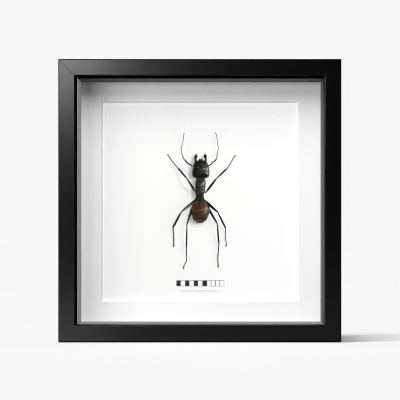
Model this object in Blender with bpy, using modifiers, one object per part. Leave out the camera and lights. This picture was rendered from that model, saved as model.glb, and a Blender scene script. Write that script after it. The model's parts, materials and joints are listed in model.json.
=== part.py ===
"""A giant ant mounted in a small black box frame, at its real size.

The frame stands on its bottom rail. +Z is up, +X is to the right as the glass is
looked at, and the glass faces -Y. The origin is the middle of the base.

Sizes below are in millimetres. Depths are counted from the front face of the
frame towards its back. Places on the ant are counted to the right of the ant's
own axis, upwards from the middle of the frame, and forwards from the face of the
board that carries it.
"""

import math
from collections import namedtuple

import bmesh
import bpy
from mathutils import Matrix, Vector

MM = 0.001
GAP = 0.3

# Driving sizes of the frame
FRAME_SIDE = 125.0
FRAME_DEPTH = 30.0
FACE_WIDTH = 7.5
LIP_DEPTH = 7.0
WALL = 3.9
FACE_ARRIS = 0.55
BACK_ARRIS = 0.4
MITRE_GAP = 0.2

# Driving sizes of what the frame holds, from the front to the back
GLASS_THICKNESS = 2.0
SPACER_DEPTH = 11.4
MAT_THICKNESS = 1.0
BOARD_THICKNESS = 1.5
PANEL_THICKNESS = 2.5
WINDOW_WIDTH = 91.2
WINDOW_HEIGHT = 92.4
WINDOW_SHIFT = (-0.4, 0.2)

# Driving sizes of the fixings on the back
TAB_LENGTH = 13.0
TAB_WIDTH = 8.0
TAB_THICKNESS = 0.5
TAB_BITE = 1.5
TAB_ROOT_WIDTH = 5.6
TAB_OFFSET = 30.0
HANGER_LENGTH = 44.0
HANGER_HEIGHT = 8.0
HANGER_THICKNESS = 0.8
HANGER_RISE = 1.2
HANGER_UP = 40.0
HANGER_BRIDGE = 28.0
HANGER_RAMP = 2.0
TOOTH_PITCH = 2.0
TOOTH_DEPTH = 1.2
TOOTH_POINT = 0.05
CUTTER_REACH = 1.0
NAIL_OFFSET = 18.5
NAIL_HEAD_RADIUS = 1.6
NAIL_HEAD_THICKNESS = 0.7
NAIL_HEAD_EDGE = 0.25
NAIL_DOME_RADIUS = 1.0
NAIL_DOME_EDGE = 0.6
NAIL_POINT_LENGTH = 0.6
NAIL_SHANK_RADIUS = 0.6
NAIL_SHANK_LENGTH = 2.2
NAIL_CLEARANCE = 0.3

# Worked out from the driving sizes
SHEET_SIDE = FRAME_SIDE - 2 * (WALL + GAP)
GLASS_FRONT = LIP_DEPTH + GAP
SPACER_FRONT = GLASS_FRONT + GLASS_THICKNESS + GAP
MAT_FRONT = SPACER_FRONT + SPACER_DEPTH + GAP
BOARD_FRONT = MAT_FRONT + MAT_THICKNESS + GAP
PANEL_FRONT = BOARD_FRONT + BOARD_THICKNESS + GAP
FIXING_FRONT = PANEL_FRONT + PANEL_THICKNESS + GAP

# The ant's own axis lies a little left of the middle of the frame
ANT_SHIFT = -0.2

# Cross-sections of the ant's body: how far up, half the width, underside and top
# heights above the board, and how far the section's middle is to the right
Ring = namedtuple("Ring", "up half_width low high side")

HEAD_SIDE = 0.22
HEAD_RINGS = [
    Ring(19.65, 0.0, 4.7, 4.7, HEAD_SIDE),
    Ring(19.55, 0.9, 4.3, 5.2, HEAD_SIDE),
    Ring(19.20, 1.35, 4.0, 5.6, HEAD_SIDE),
    Ring(18.60, 1.65, 3.7, 6.1, HEAD_SIDE),
    Ring(18.45, 2.6, 3.5, 6.2, HEAD_SIDE),
    Ring(17.40, 3.1, 3.1, 6.6, HEAD_SIDE),
    Ring(16.20, 3.5, 2.8, 6.95, HEAD_SIDE),
    Ring(14.80, 3.8, 2.6, 7.15, HEAD_SIDE),
    Ring(13.40, 3.9, 2.5, 7.15, HEAD_SIDE),
    Ring(12.20, 3.75, 2.6, 6.9, HEAD_SIDE),
    Ring(11.40, 3.25, 3.0, 6.4, HEAD_SIDE),
    Ring(10.95, 2.3, 3.6, 5.8, HEAD_SIDE),
    Ring(10.75, 0.0, 4.7, 4.7, HEAD_SIDE),
]
NECK_HOLLOW = 0.55
HOLLOW_START = 12.4
HOLLOW_FULL = 10.8
NECK_HALF_WIDTH = 2.2
EYE_PLACE = (2.45, 13.7, 6.45)
EYE_RADII = (0.42, 0.62, 0.4)
EYE_LEAN = 38.0

THORAX_RINGS = [
    Ring(10.95, 0.0, 4.7, 4.7, 0.1),
    Ring(10.85, 0.9, 4.1, 5.4, 0.1),
    Ring(10.45, 1.5, 3.8, 6.0, 0.1),
    Ring(9.70, 2.0, 3.5, 6.7, 0.1),
    Ring(8.60, 2.25, 3.4, 7.2, 0.1),
    Ring(7.20, 2.15, 3.4, 7.3, 0.1),
    Ring(6.20, 1.95, 3.4, 7.15, 0.1),
    Ring(5.00, 1.85, 3.4, 7.1, 0.05),
    Ring(3.90, 1.7, 3.45, 6.8, 0.0),
    Ring(3.10, 1.5, 3.6, 6.3, 0.0),
    Ring(2.60, 1.1, 3.8, 5.6, 0.0),
    Ring(2.38, 0.6, 4.1, 5.1, 0.0),
    Ring(2.30, 0.0, 4.6, 4.6, 0.0),
]
WAIST_RINGS = [
    Ring(2.02, 0.0, 4.5, 4.5, 0.0),
    Ring(1.97, 0.6, 4.0, 5.4, 0.0),
    Ring(1.78, 1.05, 3.6, 6.3, 0.0),
    Ring(1.60, 1.15, 3.5, 6.6, 0.0),
    Ring(1.42, 1.05, 3.6, 6.3, 0.0),
    Ring(1.23, 0.6, 4.0, 5.4, 0.0),
    Ring(1.18, 0.0, 4.5, 4.5, 0.0),
]
GASTER_RINGS = [
    Ring(0.90, 0.0, 4.6, 4.6, 0.1),
    Ring(0.80, 0.8, 4.0, 5.4, 0.1),
    Ring(0.30, 1.6, 3.5, 6.2, 0.1),
    Ring(-0.70, 2.3, 3.0, 6.9, 0.2),
    Ring(-2.10, 2.95, 2.5, 7.4, 0.3),
    Ring(-3.40, 3.5, 2.1, 7.7, 0.3),
    Ring(-4.80, 3.85, 1.9, 7.8, 0.3),
    Ring(-6.40, 3.8, 1.9, 7.7, 0.25),
    Ring(-7.80, 3.3, 2.1, 7.2, 0.2),
    Ring(-8.80, 2.5, 2.6, 6.6, 0.15),
    Ring(-9.50, 1.5, 3.3, 5.8, 0.1),
    Ring(-9.85, 0.0, 4.6, 4.6, 0.1),
]
GASTER_SEAMS = [-3.8, -6.7, -8.5]
SEAM_STEP = 0.11
SEAM_LENGTH = 0.12
PLATE_RING_PITCH = 0.9

# The right mandible's outline, to the right of the head's own axis and upwards
MANDIBLE_OUTLINE = [
    (2.02, 18.78), (2.58, 18.78), (2.72, 19.40), (2.88, 20.20), (2.88, 20.80),
    (2.72, 21.40), (2.42, 21.90), (2.05, 22.20), (1.98, 21.75), (1.62, 21.60),
    (1.66, 21.25), (1.27, 20.95), (1.40, 20.60), (1.42, 20.30), (1.80, 20.00),
    (1.98, 19.40),
]
MANDIBLE_HEIGHT = 4.5
MANDIBLE_THICKNESS = 0.9

# Each antenna from its socket to its tip; the scape ends at the fourth point
ANTENNAE = {
    "left": [
        (-0.65, 15.3, 7.80), (-3.0, 15.9, 8.0), (-5.4, 17.3, 8.0), (-7.0, 18.9, 7.6),
        (-8.0, 20.7, 6.9), (-8.6, 23.0, 5.8), (-8.7, 24.4, 5.2), (-8.1, 27.9, 3.7),
        (-7.6, 30.7, 2.2), (-7.3, 31.8, 1.7),
    ],
    "right": [
        (1.10, 15.3, 7.80), (4.2, 16.4, 8.1), (5.8, 17.7, 8.0), (7.5, 19.5, 7.6),
        (8.0, 21.5, 6.9), (8.1, 24.5, 5.6), (7.8, 27.8, 4.2), (7.4, 30.6, 2.8),
        (6.7, 32.0, 2.0),
    ],
}
SCAPE_POINTS = 4
SOCKET_RADIUS = 0.24
SCAPE_RADIUS = 0.31
FUNICULUS_RADIUS = 0.2

# How each leg is held: the two ends of the coxa, the turn of the trochanter, the
# knee, the ankle, and the joints of the foot down to its claws
Leg = namedtuple("Leg", "coxa trochanter knee ankle foot")

LEGS = {
    "front_left": Leg(
        coxa=[(-0.95, 7.9, 2.4), (-1.3, 6.0, 2.3)],
        trochanter=[(-1.45, 5.1, 2.2), (-1.65, 4.75, 2.35), (-1.95, 4.9, 2.7)],
        knee=(-5.8, 10.2, 8.2),
        ankle=(-10.3, 15.5, 2.2),
        foot=[(-13.1, 18.8, 0.9), (-14.1, 20.4, 0.6), (-15.2, 22.1, 0.6)],
    ),
    "front_right": Leg(
        coxa=[(1.0, 7.7, 2.4), (1.45, 5.8, 2.3)],
        trochanter=[(1.65, 4.9, 2.2), (1.95, 4.55, 2.4), (2.45, 4.8, 2.8)],
        knee=(7.4, 10.4, 8.4),
        ankle=(11.6, 14.9, 2.3),
        foot=[(14.1, 18.4, 0.9), (15.0, 20.1, 0.6), (16.3, 21.6, 0.6)],
    ),
    "middle_left": Leg(
        coxa=[(-0.85, 3.7, 2.5), (-1.15, 2.3, 2.5)],
        trochanter=[(-1.4, 1.6, 2.6), (-1.8, 1.1, 2.9)],
        knee=(-8.6, -4.7, 9.0),
        ankle=(-12.4, -11.7, 2.3),
        foot=[(-12.2, -15.6, 1.0), (-12.2, -18.8, 0.6), (-12.3, -20.9, 0.6)],
    ),
    "middle_right": Leg(
        coxa=[(0.85, 3.7, 2.5), (1.15, 2.3, 2.5)],
        trochanter=[(1.35, 1.6, 2.6), (1.75, 1.1, 2.95)],
        knee=(8.1, -4.8, 9.0),
        ankle=(11.5, -11.9, 2.3),
        foot=[(11.5, -15.2, 1.0), (11.5, -17.2, 0.7), (12.0, -19.0, 0.6), (11.8, -20.7, 0.6)],
    ),
    "hind_left": Leg(
        coxa=[(-0.7, 1.0, 2.3), (-1.8, 0.1, 2.0)],
        trochanter=[(-2.4, -0.1, 1.95), (-2.9, -0.4, 2.2)],
        knee=(-5.8, -10.5, 9.2),
        ankle=(-6.4, -21.1, 2.4),
        foot=[(-6.4, -24.4, 1.1), (-6.4, -26.9, 0.7), (-7.6, -29.2, 0.6), (-7.9, -31.0, 0.6)],
    ),
    "hind_right": Leg(
        coxa=[(0.7, 1.0, 2.3), (1.8, 0.2, 1.9)],
        trochanter=[(2.3, -0.1, 1.85), (2.7, -0.6, 2.0)],
        knee=(7.6, -9.5, 6.9),
        ankle=(8.5, -19.3, 2.3),
        foot=[(8.3, -22.6, 1.1), (8.1, -25.4, 0.8), (8.1, -27.9, 0.6), (8.3, -30.3, 0.6)],
    ),
}
COXA_RADIUS = 0.64
COXA_TOP_RADIUS = 0.58
COXA_END_RADIUS = 0.5
TROCHANTER_RADIUS = 0.33
KNEE_RADIUS = 0.36
ANKLE_RADIUS = 0.3
TARSUS_RADIUS = 0.23
CLAW_RADIUS = 0.28
CLAW_LENGTH = 0.6
JOINT_CUT = 0.3
# How thick the femur and the tibia are, by how far along each one
FEMUR_SHAPE = [(0.12, 0.5), (0.38, 0.62), (0.72, 0.52), (0.93, 0.38)]
TIBIA_SHAPE = [(0.07, 0.3), (0.35, 0.38), (0.85, 0.4)]

RING_SIDES = 18
TUBE_SMOOTHNESS = 2
BODY_SQUARENESS = 0.9


def frame_point(right, up, depth):
    """A point counted from the middle of the frame's front face, in metres."""
    return Vector((right, depth - FRAME_DEPTH / 2, FRAME_SIDE / 2 + up)) * MM


def ant_point(right, up, height):
    """A point counted from the ant's axis and from the board's face, in metres."""
    return frame_point(right + ANT_SHIFT, up, BOARD_FRONT - height)


def clear_scene():
    for old in list(bpy.data.objects):
        bpy.data.objects.remove(old, do_unlink=True)


def new_collection(name):
    collection = bpy.data.collections.new(name)
    bpy.context.scene.collection.children.link(collection)
    return collection


def new_material(name, colour, roughness, metallic=0.0, transmission=0.0):
    material = bpy.data.materials.new(name)
    material.use_nodes = True
    shader = material.node_tree.nodes["Principled BSDF"]
    shader.inputs["Base Color"].default_value = (*colour, 1.0)
    shader.inputs["Roughness"].default_value = roughness
    shader.inputs["Metallic"].default_value = metallic
    shader.inputs["Transmission Weight"].default_value = transmission
    material.diffuse_color = (*colour, 1.0)
    return material


def mesh_from(bm, name):
    bmesh.ops.recalc_face_normals(bm, faces=bm.faces)
    mesh = bpy.data.meshes.new(name)
    bm.to_mesh(mesh)
    bm.free()
    return mesh


def add_piece(name, data, finish, matrix=None):
    """Link one named piece of the object, with a material of its own."""
    piece = bpy.data.objects.new(name, data)
    pieces.objects.link(piece)
    if matrix is not None:
        piece.matrix_world = matrix
    piece.data.materials.clear()
    piece.data.materials.append(new_material(name, *finish))
    return piece


def add_cutter(name, data, matrix=None):
    cutter = bpy.data.objects.new(name, data)
    cutters.objects.link(cutter)
    if matrix is not None:
        cutter.matrix_world = matrix
    cutter.hide_render = True
    cutter.display_type = 'WIRE'
    return cutter


def boolean(piece, operation, tool):
    modifier = piece.modifiers.new(tool.name, 'BOOLEAN')
    modifier.operation = operation
    modifier.solver = 'EXACT'
    modifier.object = tool


def shade_smooth(mesh, angle=35.0):
    mesh.shade_smooth()
    mesh.set_sharp_from_angle(angle=math.radians(angle))


def box_mesh(name, size, centre=(0.0, 0.0, 0.0)):
    """A box of a size in millimetres, about a centre in millimetres."""
    bm = bmesh.new()
    matrix = Matrix.Translation(Vector(centre) * MM) @ Matrix.Diagonal((*(Vector(size) * MM), 1.0))
    bmesh.ops.create_cube(bm, size=1.0, matrix=matrix)
    return mesh_from(bm, name)


def turned(side):
    """Turns the bottom side of the frame onto another of its four sides."""
    quarter_turns = {"bottom": 0, "left": 1, "top": 2, "right": 3}[side]
    middle = Matrix.Translation(frame_point(0.0, 0.0, FRAME_DEPTH / 2))
    return middle @ Matrix.Rotation(math.radians(90 * quarter_turns), 4, 'Y')


def arc(centre, radius, start, end, steps):
    """Points of a rounded arris, from one angle in degrees to another."""
    points = []
    for step in range(steps + 1):
        angle = math.radians(start + (end - start) * step / steps)
        points.append((centre[0] + radius * math.cos(angle), centre[1] + radius * math.sin(angle)))
    return points


def mitred_strip(name, profile):
    """The bottom one of four strips: a profile of inward and depth measures, with mitred ends."""
    bm = bmesh.new()
    corners = []
    for inward, depth in profile:
        corners.append(bm.verts.new((0.0, depth - FRAME_DEPTH / 2, inward - FRAME_SIDE / 2)))
    face = bm.faces.new(corners)
    extruded = bmesh.ops.extrude_face_region(bm, geom=[face])
    far_corners = {item for item in extruded["geom"] if isinstance(item, bmesh.types.BMVert)}
    mitre_inset = MITRE_GAP / math.sqrt(2)
    for vert in bm.verts:
        reach = -vert.co.z - mitre_inset
        vert.co.x = reach if vert in far_corners else -reach
    bmesh.ops.scale(bm, vec=(MM, MM, MM), verts=bm.verts)
    return mesh_from(bm, name)


def rail_profile():
    """The rail's section: a face with rounded arrises, a lip, and a wall behind it."""
    profile = arc((FACE_ARRIS, FACE_ARRIS), FACE_ARRIS, 180, 270, 4)
    profile += arc((FACE_WIDTH - FACE_ARRIS, FACE_ARRIS), FACE_ARRIS, 270, 360, 4)
    profile += [(FACE_WIDTH, LIP_DEPTH), (WALL, LIP_DEPTH), (WALL, FRAME_DEPTH)]
    profile += arc((BACK_ARRIS, FRAME_DEPTH - BACK_ARRIS), BACK_ARRIS, 90, 180, 3)
    return profile


def spacer_profile():
    outer = WALL + GAP
    back = SPACER_FRONT + SPACER_DEPTH
    return [(outer, SPACER_FRONT), (FACE_WIDTH, SPACER_FRONT), (FACE_WIDTH, back), (outer, back)]


def slot_mesh():
    """The two slots that the tabs bite into, in the wall of the bottom rail."""
    bm = bmesh.new()
    depth = FIXING_FRONT + TAB_THICKNESS / 2 - FRAME_DEPTH / 2
    bite = TAB_BITE + GAP
    size = Vector((TAB_WIDTH + 2 * GAP, TAB_THICKNESS + 2 * GAP, 2 * bite)) * MM
    for offset in (-TAB_OFFSET, TAB_OFFSET):
        centre = Vector((offset, depth, WALL - FRAME_SIDE / 2)) * MM
        matrix = Matrix.Translation(centre) @ Matrix.Diagonal((*size, 1.0))
        bmesh.ops.create_cube(bm, size=1.0, matrix=matrix)
    return mesh_from(bm, "tab_slots")


def build_rails():
    rail = mitred_strip("rail", rail_profile())
    shade_smooth(rail)
    slots = slot_mesh()
    for side in ("top", "bottom", "left", "right"):
        piece = add_piece("rail_" + side, rail.copy(), BLACK_PAINT, turned(side))
        boolean(piece, 'DIFFERENCE', add_cutter("tab_slots_" + side, slots, turned(side)))


def build_spacers():
    spacer = mitred_strip("spacer", spacer_profile())
    for side in ("top", "bottom", "left", "right"):
        add_piece("spacer_" + side, spacer.copy(), BLACK_LINER, turned(side))


def sheet_mesh(name, front, thickness):
    """One square sheet of the stack in the frame's rebate."""
    centre_depth = front + thickness / 2 - FRAME_DEPTH / 2
    return box_mesh(name, (SHEET_SIDE, thickness, SHEET_SIDE), (0.0, centre_depth, FRAME_SIDE / 2))


def window_cutter():
    """A tapered block: the window is cut with a 45 degree bevel that faces the viewer."""
    thickness = MAT_THICKNESS + 2 * CUTTER_REACH
    bm = bmesh.new()
    bmesh.ops.create_cube(bm, size=1.0)
    for vert in bm.verts:
        grown = CUTTER_REACH if vert.co.y < 0 else -MAT_THICKNESS - CUTTER_REACH
        depth = MAT_FRONT + MAT_THICKNESS / 2 + vert.co.y * thickness
        right = WINDOW_SHIFT[0] + 2 * vert.co.x * (WINDOW_WIDTH / 2 + grown)
        up = WINDOW_SHIFT[1] + 2 * vert.co.z * (WINDOW_HEIGHT / 2 + grown)
        vert.co = frame_point(right, up, depth)
    return mesh_from(bm, "window_block")


def build_sheets():
    add_piece("glass", sheet_mesh("glass", GLASS_FRONT, GLASS_THICKNESS), CLEAR_GLASS)
    mat = add_piece("mat", sheet_mesh("mat", MAT_FRONT, MAT_THICKNESS), WHITE_CARD)
    boolean(mat, 'DIFFERENCE', add_cutter("window_block", window_cutter()))
    add_piece("mount_board", sheet_mesh("mount_board", BOARD_FRONT, BOARD_THICKNESS), WHITE_CARD)
    panel = add_piece("back_panel", sheet_mesh("back_panel", PANEL_FRONT, PANEL_THICKNESS), FIBREBOARD)
    boolean(panel, 'DIFFERENCE', add_cutter("nail_holes_panel", nail_holes()))


def flat_outline(name, points, thickness):
    """A flat closed outline in millimetres, given a thickness about its own plane."""
    curve = bpy.data.curves.new(name, 'CURVE')
    curve.dimensions = '2D'
    curve.fill_mode = 'BOTH'
    curve.extrude = thickness / 2 * MM
    spline = curve.splines.new('POLY')
    spline.points.add(len(points) - 1)
    for point, (across, along) in zip(spline.points, points):
        point.co = (across * MM, along * MM, 0.0, 1.0)
    spline.use_cyclic_u = True
    return curve


def mesh_of_curve(curve, matrix):
    """The closed mesh of a curve, put in its place."""
    carrier = bpy.data.objects.new(curve.name, curve)
    pieces.objects.link(carrier)
    carrier.matrix_world = matrix
    bpy.context.view_layer.update()
    evaluated = carrier.evaluated_get(bpy.context.evaluated_depsgraph_get())
    mesh = bpy.data.meshes.new_from_object(evaluated)
    bm = bmesh.new()
    bm.from_mesh(mesh)
    bmesh.ops.remove_doubles(bm, verts=bm.verts, dist=0.00001)
    bmesh.ops.transform(bm, matrix=matrix, verts=bm.verts)
    bmesh.ops.recalc_face_normals(bm, faces=bm.faces)
    bm.to_mesh(mesh)
    bm.free()
    bpy.data.objects.remove(carrier)
    return mesh


def tab_outline():
    """A steel point: a tapered root in the rail's slot and a rounded tongue over the panel."""
    half = TAB_WIDTH / 2
    root_half = TAB_ROOT_WIDTH / 2
    root = WALL - TAB_BITE
    tongue = arc((0.0, root + TAB_LENGTH - half), half, 0, 180, 8)
    return [(-half, WALL), (-root_half, root), (root_half, root), (half, WALL)] + tongue


def upright(depth):
    """Stands a flat outline up at a depth, its second axis running up from the frame's foot."""
    lift = Matrix.Translation(Vector((0.0, depth - FRAME_DEPTH / 2, -FRAME_SIDE / 2)) * MM)
    return lift @ Matrix.Rotation(math.radians(90), 4, 'X')


def build_tabs():
    stand = upright(FIXING_FRONT + TAB_THICKNESS / 2)
    ends = {"top": ("right", "left"), "bottom": ("left", "right"),
            "left": ("upper", "lower"), "right": ("lower", "upper")}
    for side, names in ends.items():
        for offset, end in zip((-TAB_OFFSET, TAB_OFFSET), names):
            name = "tab_" + side + "_" + end
            shift = Matrix.Translation(Vector((offset, 0.0, 0.0)) * MM)
            curve = flat_outline(name, tab_outline(), TAB_THICKNESS)
            add_piece(name, curve, ZINC_STEEL, turned(side) @ shift @ stand)


def cylinder(bm, right, up, front, back, radius, sides):
    """Adds a cylinder that runs from one depth to another."""
    middle = frame_point(right, up, (front + back) / 2)
    matrix = Matrix.Translation(middle) @ Matrix.Rotation(math.radians(90), 4, 'X')
    bmesh.ops.create_cone(
        bm, cap_ends=True, segments=sides, radius1=radius * MM, radius2=radius * MM,
        depth=(back - front) * MM, matrix=matrix)


def nail_holes():
    """What the two nails leave open in the back panel and in the hanger's ears."""
    bm = bmesh.new()
    radius = NAIL_SHANK_RADIUS + NAIL_CLEARANCE
    front = FIXING_FRONT + HANGER_THICKNESS + GAP - NAIL_SHANK_LENGTH - GAP
    for right in (-NAIL_OFFSET, NAIL_OFFSET):
        cylinder(bm, right, HANGER_UP, front, FRAME_DEPTH, radius, 16)
    return mesh_from(bm, "nail_holes")


def hanger_strip():
    """The hanger's strip as seen from above: two flat ears and a raised bridge."""
    half = HANGER_LENGTH / 2
    foot = HANGER_BRIDGE / 2 + HANGER_RAMP
    crown = HANGER_BRIDGE / 2
    front = [(-half, 0.0), (-foot, 0.0), (-crown, HANGER_RISE),
             (crown, HANGER_RISE), (foot, 0.0), (half, 0.0)]
    back = [(across, rise + HANGER_THICKNESS) for across, rise in reversed(front)]
    return front + back


def tooth_cutter():
    """A row of notches along the lower edge of the hanger's bridge."""
    teeth = int((HANGER_BRIDGE - 2 * TOOTH_PITCH) / TOOTH_PITCH)
    start = -teeth * TOOTH_PITCH / 2
    edge = -HANGER_HEIGHT / 2
    outline = [(start, edge - CUTTER_REACH)]
    for tooth in range(teeth):
        left = start + tooth * TOOTH_PITCH
        outline.append((left, edge - TOOTH_POINT))
        outline.append((left + TOOTH_PITCH / 2, edge + TOOTH_DEPTH))
    outline.append((-start, edge - TOOTH_POINT))
    outline.append((-start, edge - CUTTER_REACH))
    middle = frame_point(0.0, HANGER_UP, FIXING_FRONT + HANGER_RISE)
    place = Matrix.Translation(middle) @ Matrix.Rotation(math.radians(90), 4, 'X')
    return mesh_of_curve(flat_outline("teeth", outline, 4 * CUTTER_REACH), place)


def build_hanger():
    lift = Matrix.Translation(frame_point(0.0, HANGER_UP, FIXING_FRONT))
    strip = mesh_of_curve(flat_outline("hanger", hanger_strip(), HANGER_HEIGHT), lift)
    hanger = add_piece("hanger", strip, ZINC_STEEL)
    boolean(hanger, 'DIFFERENCE', add_cutter("teeth", tooth_cutter()))
    boolean(hanger, 'DIFFERENCE', add_cutter("nail_holes_hanger", nail_holes()))


def build_nails():
    head_front = FIXING_FRONT + HANGER_THICKNESS + GAP
    for right, side in ((-NAIL_OFFSET, "left"), (NAIL_OFFSET, "right")):
        section = [(0.0, NAIL_HEAD_THICKNESS), (NAIL_DOME_RADIUS, NAIL_DOME_EDGE),
                   (NAIL_HEAD_RADIUS, NAIL_HEAD_EDGE), (NAIL_HEAD_RADIUS, 0.0),
                   (NAIL_SHANK_RADIUS, 0.0), (NAIL_SHANK_RADIUS, NAIL_POINT_LENGTH - NAIL_SHANK_LENGTH),
                   (0.0, -NAIL_SHANK_LENGTH)]
        bm = bmesh.new()
        verts = [bm.verts.new((radius * MM, 0.0, along * MM)) for radius, along in section]
        for first, second in zip(verts, verts[1:]):
            bm.edges.new((first, second))
        profile = bpy.data.meshes.new("nail_section")
        bm.to_mesh(profile)
        bm.free()
        point_back = Matrix.Rotation(math.radians(-90), 4, 'X')
        place = Matrix.Translation(frame_point(right, HANGER_UP, head_front)) @ point_back
        nail = add_piece("hanger_nail_" + side, profile, ZINC_STEEL, place)
        spin = nail.modifiers.new("turned", 'SCREW')
        spin.axis = 'Z'
        spin.steps = 16
        spin.render_steps = 16
        spin.use_merge_vertices = True
        spin.merge_threshold = 0.00001


def blend_curve(before, start, end, after, share):
    """A smooth value between start and end, which knows its neighbours on both sides."""
    slope_in = (end - before) / 2
    slope_out = (after - start) / 2
    square = share * share
    cube = square * share
    return (start * (2 * cube - 3 * square + 1) + slope_in * (cube - 2 * square + share)
            + end * (3 * square - 2 * cube) + slope_out * (cube - square))


def ring_at(rings, up):
    """The body's section at any place along it, between the named rings."""
    for index in range(len(rings) - 1):
        here, there = rings[index], rings[index + 1]
        if there.up <= up <= here.up:
            before = rings[max(index - 1, 1)]
            after = rings[min(index + 2, len(rings) - 2)]
            share = (here.up - up) / (here.up - there.up)
            values = [blend_curve(b, h, t, a, share)
                      for b, h, t, a in zip(before[1:], here[1:], there[1:], after[1:])]
            return Ring(up, *values)
    raise ValueError("no section at %s" % up)


def loft(name, rings, squareness=BODY_SQUARENESS, warp=None):
    """A closed body through rings; its first and last rings are single points."""
    bm = bmesh.new()
    loops = []
    for ring in rings[1:-1]:
        middle = (ring.low + ring.high) / 2
        half_height = (ring.high - ring.low) / 2
        loop = []
        for side in range(RING_SIDES):
            angle = 2 * math.pi * side / RING_SIDES
            across = math.copysign(abs(math.cos(angle)) ** squareness, math.cos(angle))
            above = math.copysign(abs(math.sin(angle)) ** squareness, math.sin(angle))
            right = ring.side + ring.half_width * across
            up = ring.up
            if warp:
                up = warp(right, up)
            loop.append(bm.verts.new(ant_point(right, up, middle + half_height * above)))
        loops.append(loop)
    for loop, following in zip(loops, loops[1:]):
        for side in range(RING_SIDES):
            after = (side + 1) % RING_SIDES
            bm.faces.new((loop[side], loop[after], following[after], following[side]))
    for end, loop in ((rings[0], loops[0]), (rings[-1], loops[-1])):
        up = warp(end.side, end.up) if warp else end.up
        tip = bm.verts.new(ant_point(end.side, up, end.low))
        for side in range(RING_SIDES):
            bm.faces.new((loop[side], loop[(side + 1) % RING_SIDES], tip))
    mesh = mesh_from(bm, name)
    shade_smooth(mesh, 50.0)
    return mesh


def hollow_neck(right, up):
    """Draws the middle of the head's back inwards, where the neck meets it."""
    back = max(0.0, min(1.0, (HOLLOW_START - up) / (HOLLOW_START - HOLLOW_FULL)))
    near_axis = max(0.0, 1.0 - ((right - HEAD_SIDE) / NECK_HALF_WIDTH) ** 2)
    return up + NECK_HOLLOW * back * near_axis


def eye_mesh(side):
    """A flattened ball that looks up and outwards."""
    bm = bmesh.new()
    bmesh.ops.create_uvsphere(bm, u_segments=12, v_segments=8, radius=1.0)
    width, length, rise = (radius * MM for radius in EYE_RADII)
    right, up, height = EYE_PLACE
    lean = Matrix.Rotation(math.radians(side * EYE_LEAN), 4, 'Z')
    shape = Matrix.Diagonal((width, rise, length, 1.0))
    place = Matrix.Translation(ant_point(HEAD_SIDE + side * right, up, height))
    bmesh.ops.transform(bm, matrix=place @ lean @ shape, verts=bm.verts)
    return mesh_from(bm, "eye")


def build_head():
    head = add_piece("ant_head", loft("ant_head", HEAD_RINGS, 0.85, hollow_neck), BLACK_CHITIN)
    for side, name in ((-1, "eye_left"), (1, "eye_right")):
        boolean(head, 'UNION', add_cutter(name, eye_mesh(side)))
    for side, name in ((-1, "left"), (1, "right")):
        outline = [(HEAD_SIDE + ANT_SHIFT + side * right, up) for right, up in MANDIBLE_OUTLINE]
        curve = flat_outline("ant_mandible_" + name, outline, MANDIBLE_THICKNESS)
        stand = Matrix.Rotation(math.radians(90), 4, 'X')
        place = Matrix.Translation(frame_point(0.0, 0.0, BOARD_FRONT - MANDIBLE_HEIGHT)) @ stand
        add_piece("ant_mandible_" + name, curve, BLACK_CHITIN, place)


def build_thorax_and_waist():
    add_piece("ant_thorax", loft("ant_thorax", THORAX_RINGS), BLACK_CHITIN)
    add_piece("ant_waist", loft("ant_waist", WAIST_RINGS, 1.0), BLACK_CHITIN)


def gaster_rings():
    """The gaster's sections, each plate widening a little until it ends over the next one."""
    edges = [GASTER_RINGS[0].up] + GASTER_SEAMS + [GASTER_RINGS[-1].up]
    rings = [GASTER_RINGS[0]]
    for front, back in zip(edges, edges[1:]):
        steps = max(2, round((front - back) / PLATE_RING_PITCH))
        first = 0 if front in GASTER_SEAMS else 1
        last = steps if back in GASTER_SEAMS else steps - 1
        for step in range(first, last + 1):
            up = front + (back - front) * step / steps
            if step == 0:
                up -= SEAM_LENGTH
            ring = ring_at(GASTER_RINGS, up)
            grown = SEAM_STEP * step / steps
            rings.append(Ring(up, ring.half_width + grown, ring.low - grown, ring.high + grown, ring.side))
    rings.append(GASTER_RINGS[-1])
    return rings


def tube(name, points, radii):
    """A closed tube through points on the ant, thick where its radii say."""
    curve = bpy.data.curves.new(name, 'CURVE')
    curve.dimensions = '3D'
    curve.bevel_depth = MM
    curve.bevel_resolution = TUBE_SMOOTHNESS
    curve.use_fill_caps = True
    spline = curve.splines.new('POLY')
    spline.points.add(len(points) - 1)
    for point, place, radius in zip(spline.points, points, radii):
        point.co = (*ant_point(*place), 1.0)
        point.radius = radius
    spline.use_smooth = True
    return curve


def between(start, end, share):
    return tuple(a + (b - a) * share for a, b in zip(start, end))


def corner(before, at, after):
    """Two points that round off a joint, a short way before it and after it."""
    return [between(at, other, JOINT_CUT / math.dist(at, other)) for other in (before, after)]


def leg_path(leg):
    """The leg's centre line with its radii, from the thorax to the claws."""
    hip = leg.trochanter[-1]
    path = [(leg.coxa[0], COXA_TOP_RADIUS), (between(*leg.coxa, 0.5), COXA_RADIUS),
            (leg.coxa[1], COXA_END_RADIUS)]
    path += [(point, TROCHANTER_RADIUS) for point in leg.trochanter]
    path += [(between(hip, leg.knee, share), radius) for share, radius in FEMUR_SHAPE]
    path += [(point, KNEE_RADIUS) for point in corner(hip, leg.knee, leg.ankle)]
    path += [(between(leg.knee, leg.ankle, share), radius) for share, radius in TIBIA_SHAPE]
    path += [(point, ANKLE_RADIUS) for point in corner(leg.knee, leg.ankle, leg.foot[0])]
    path += [(point, TARSUS_RADIUS) for point in leg.foot[:-1]]
    claw_share = CLAW_LENGTH / math.dist(*leg.foot[-2:])
    path.append((between(leg.foot[-1], leg.foot[-2], claw_share), TARSUS_RADIUS))
    path.append((leg.foot[-1], CLAW_RADIUS))
    return path


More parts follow.
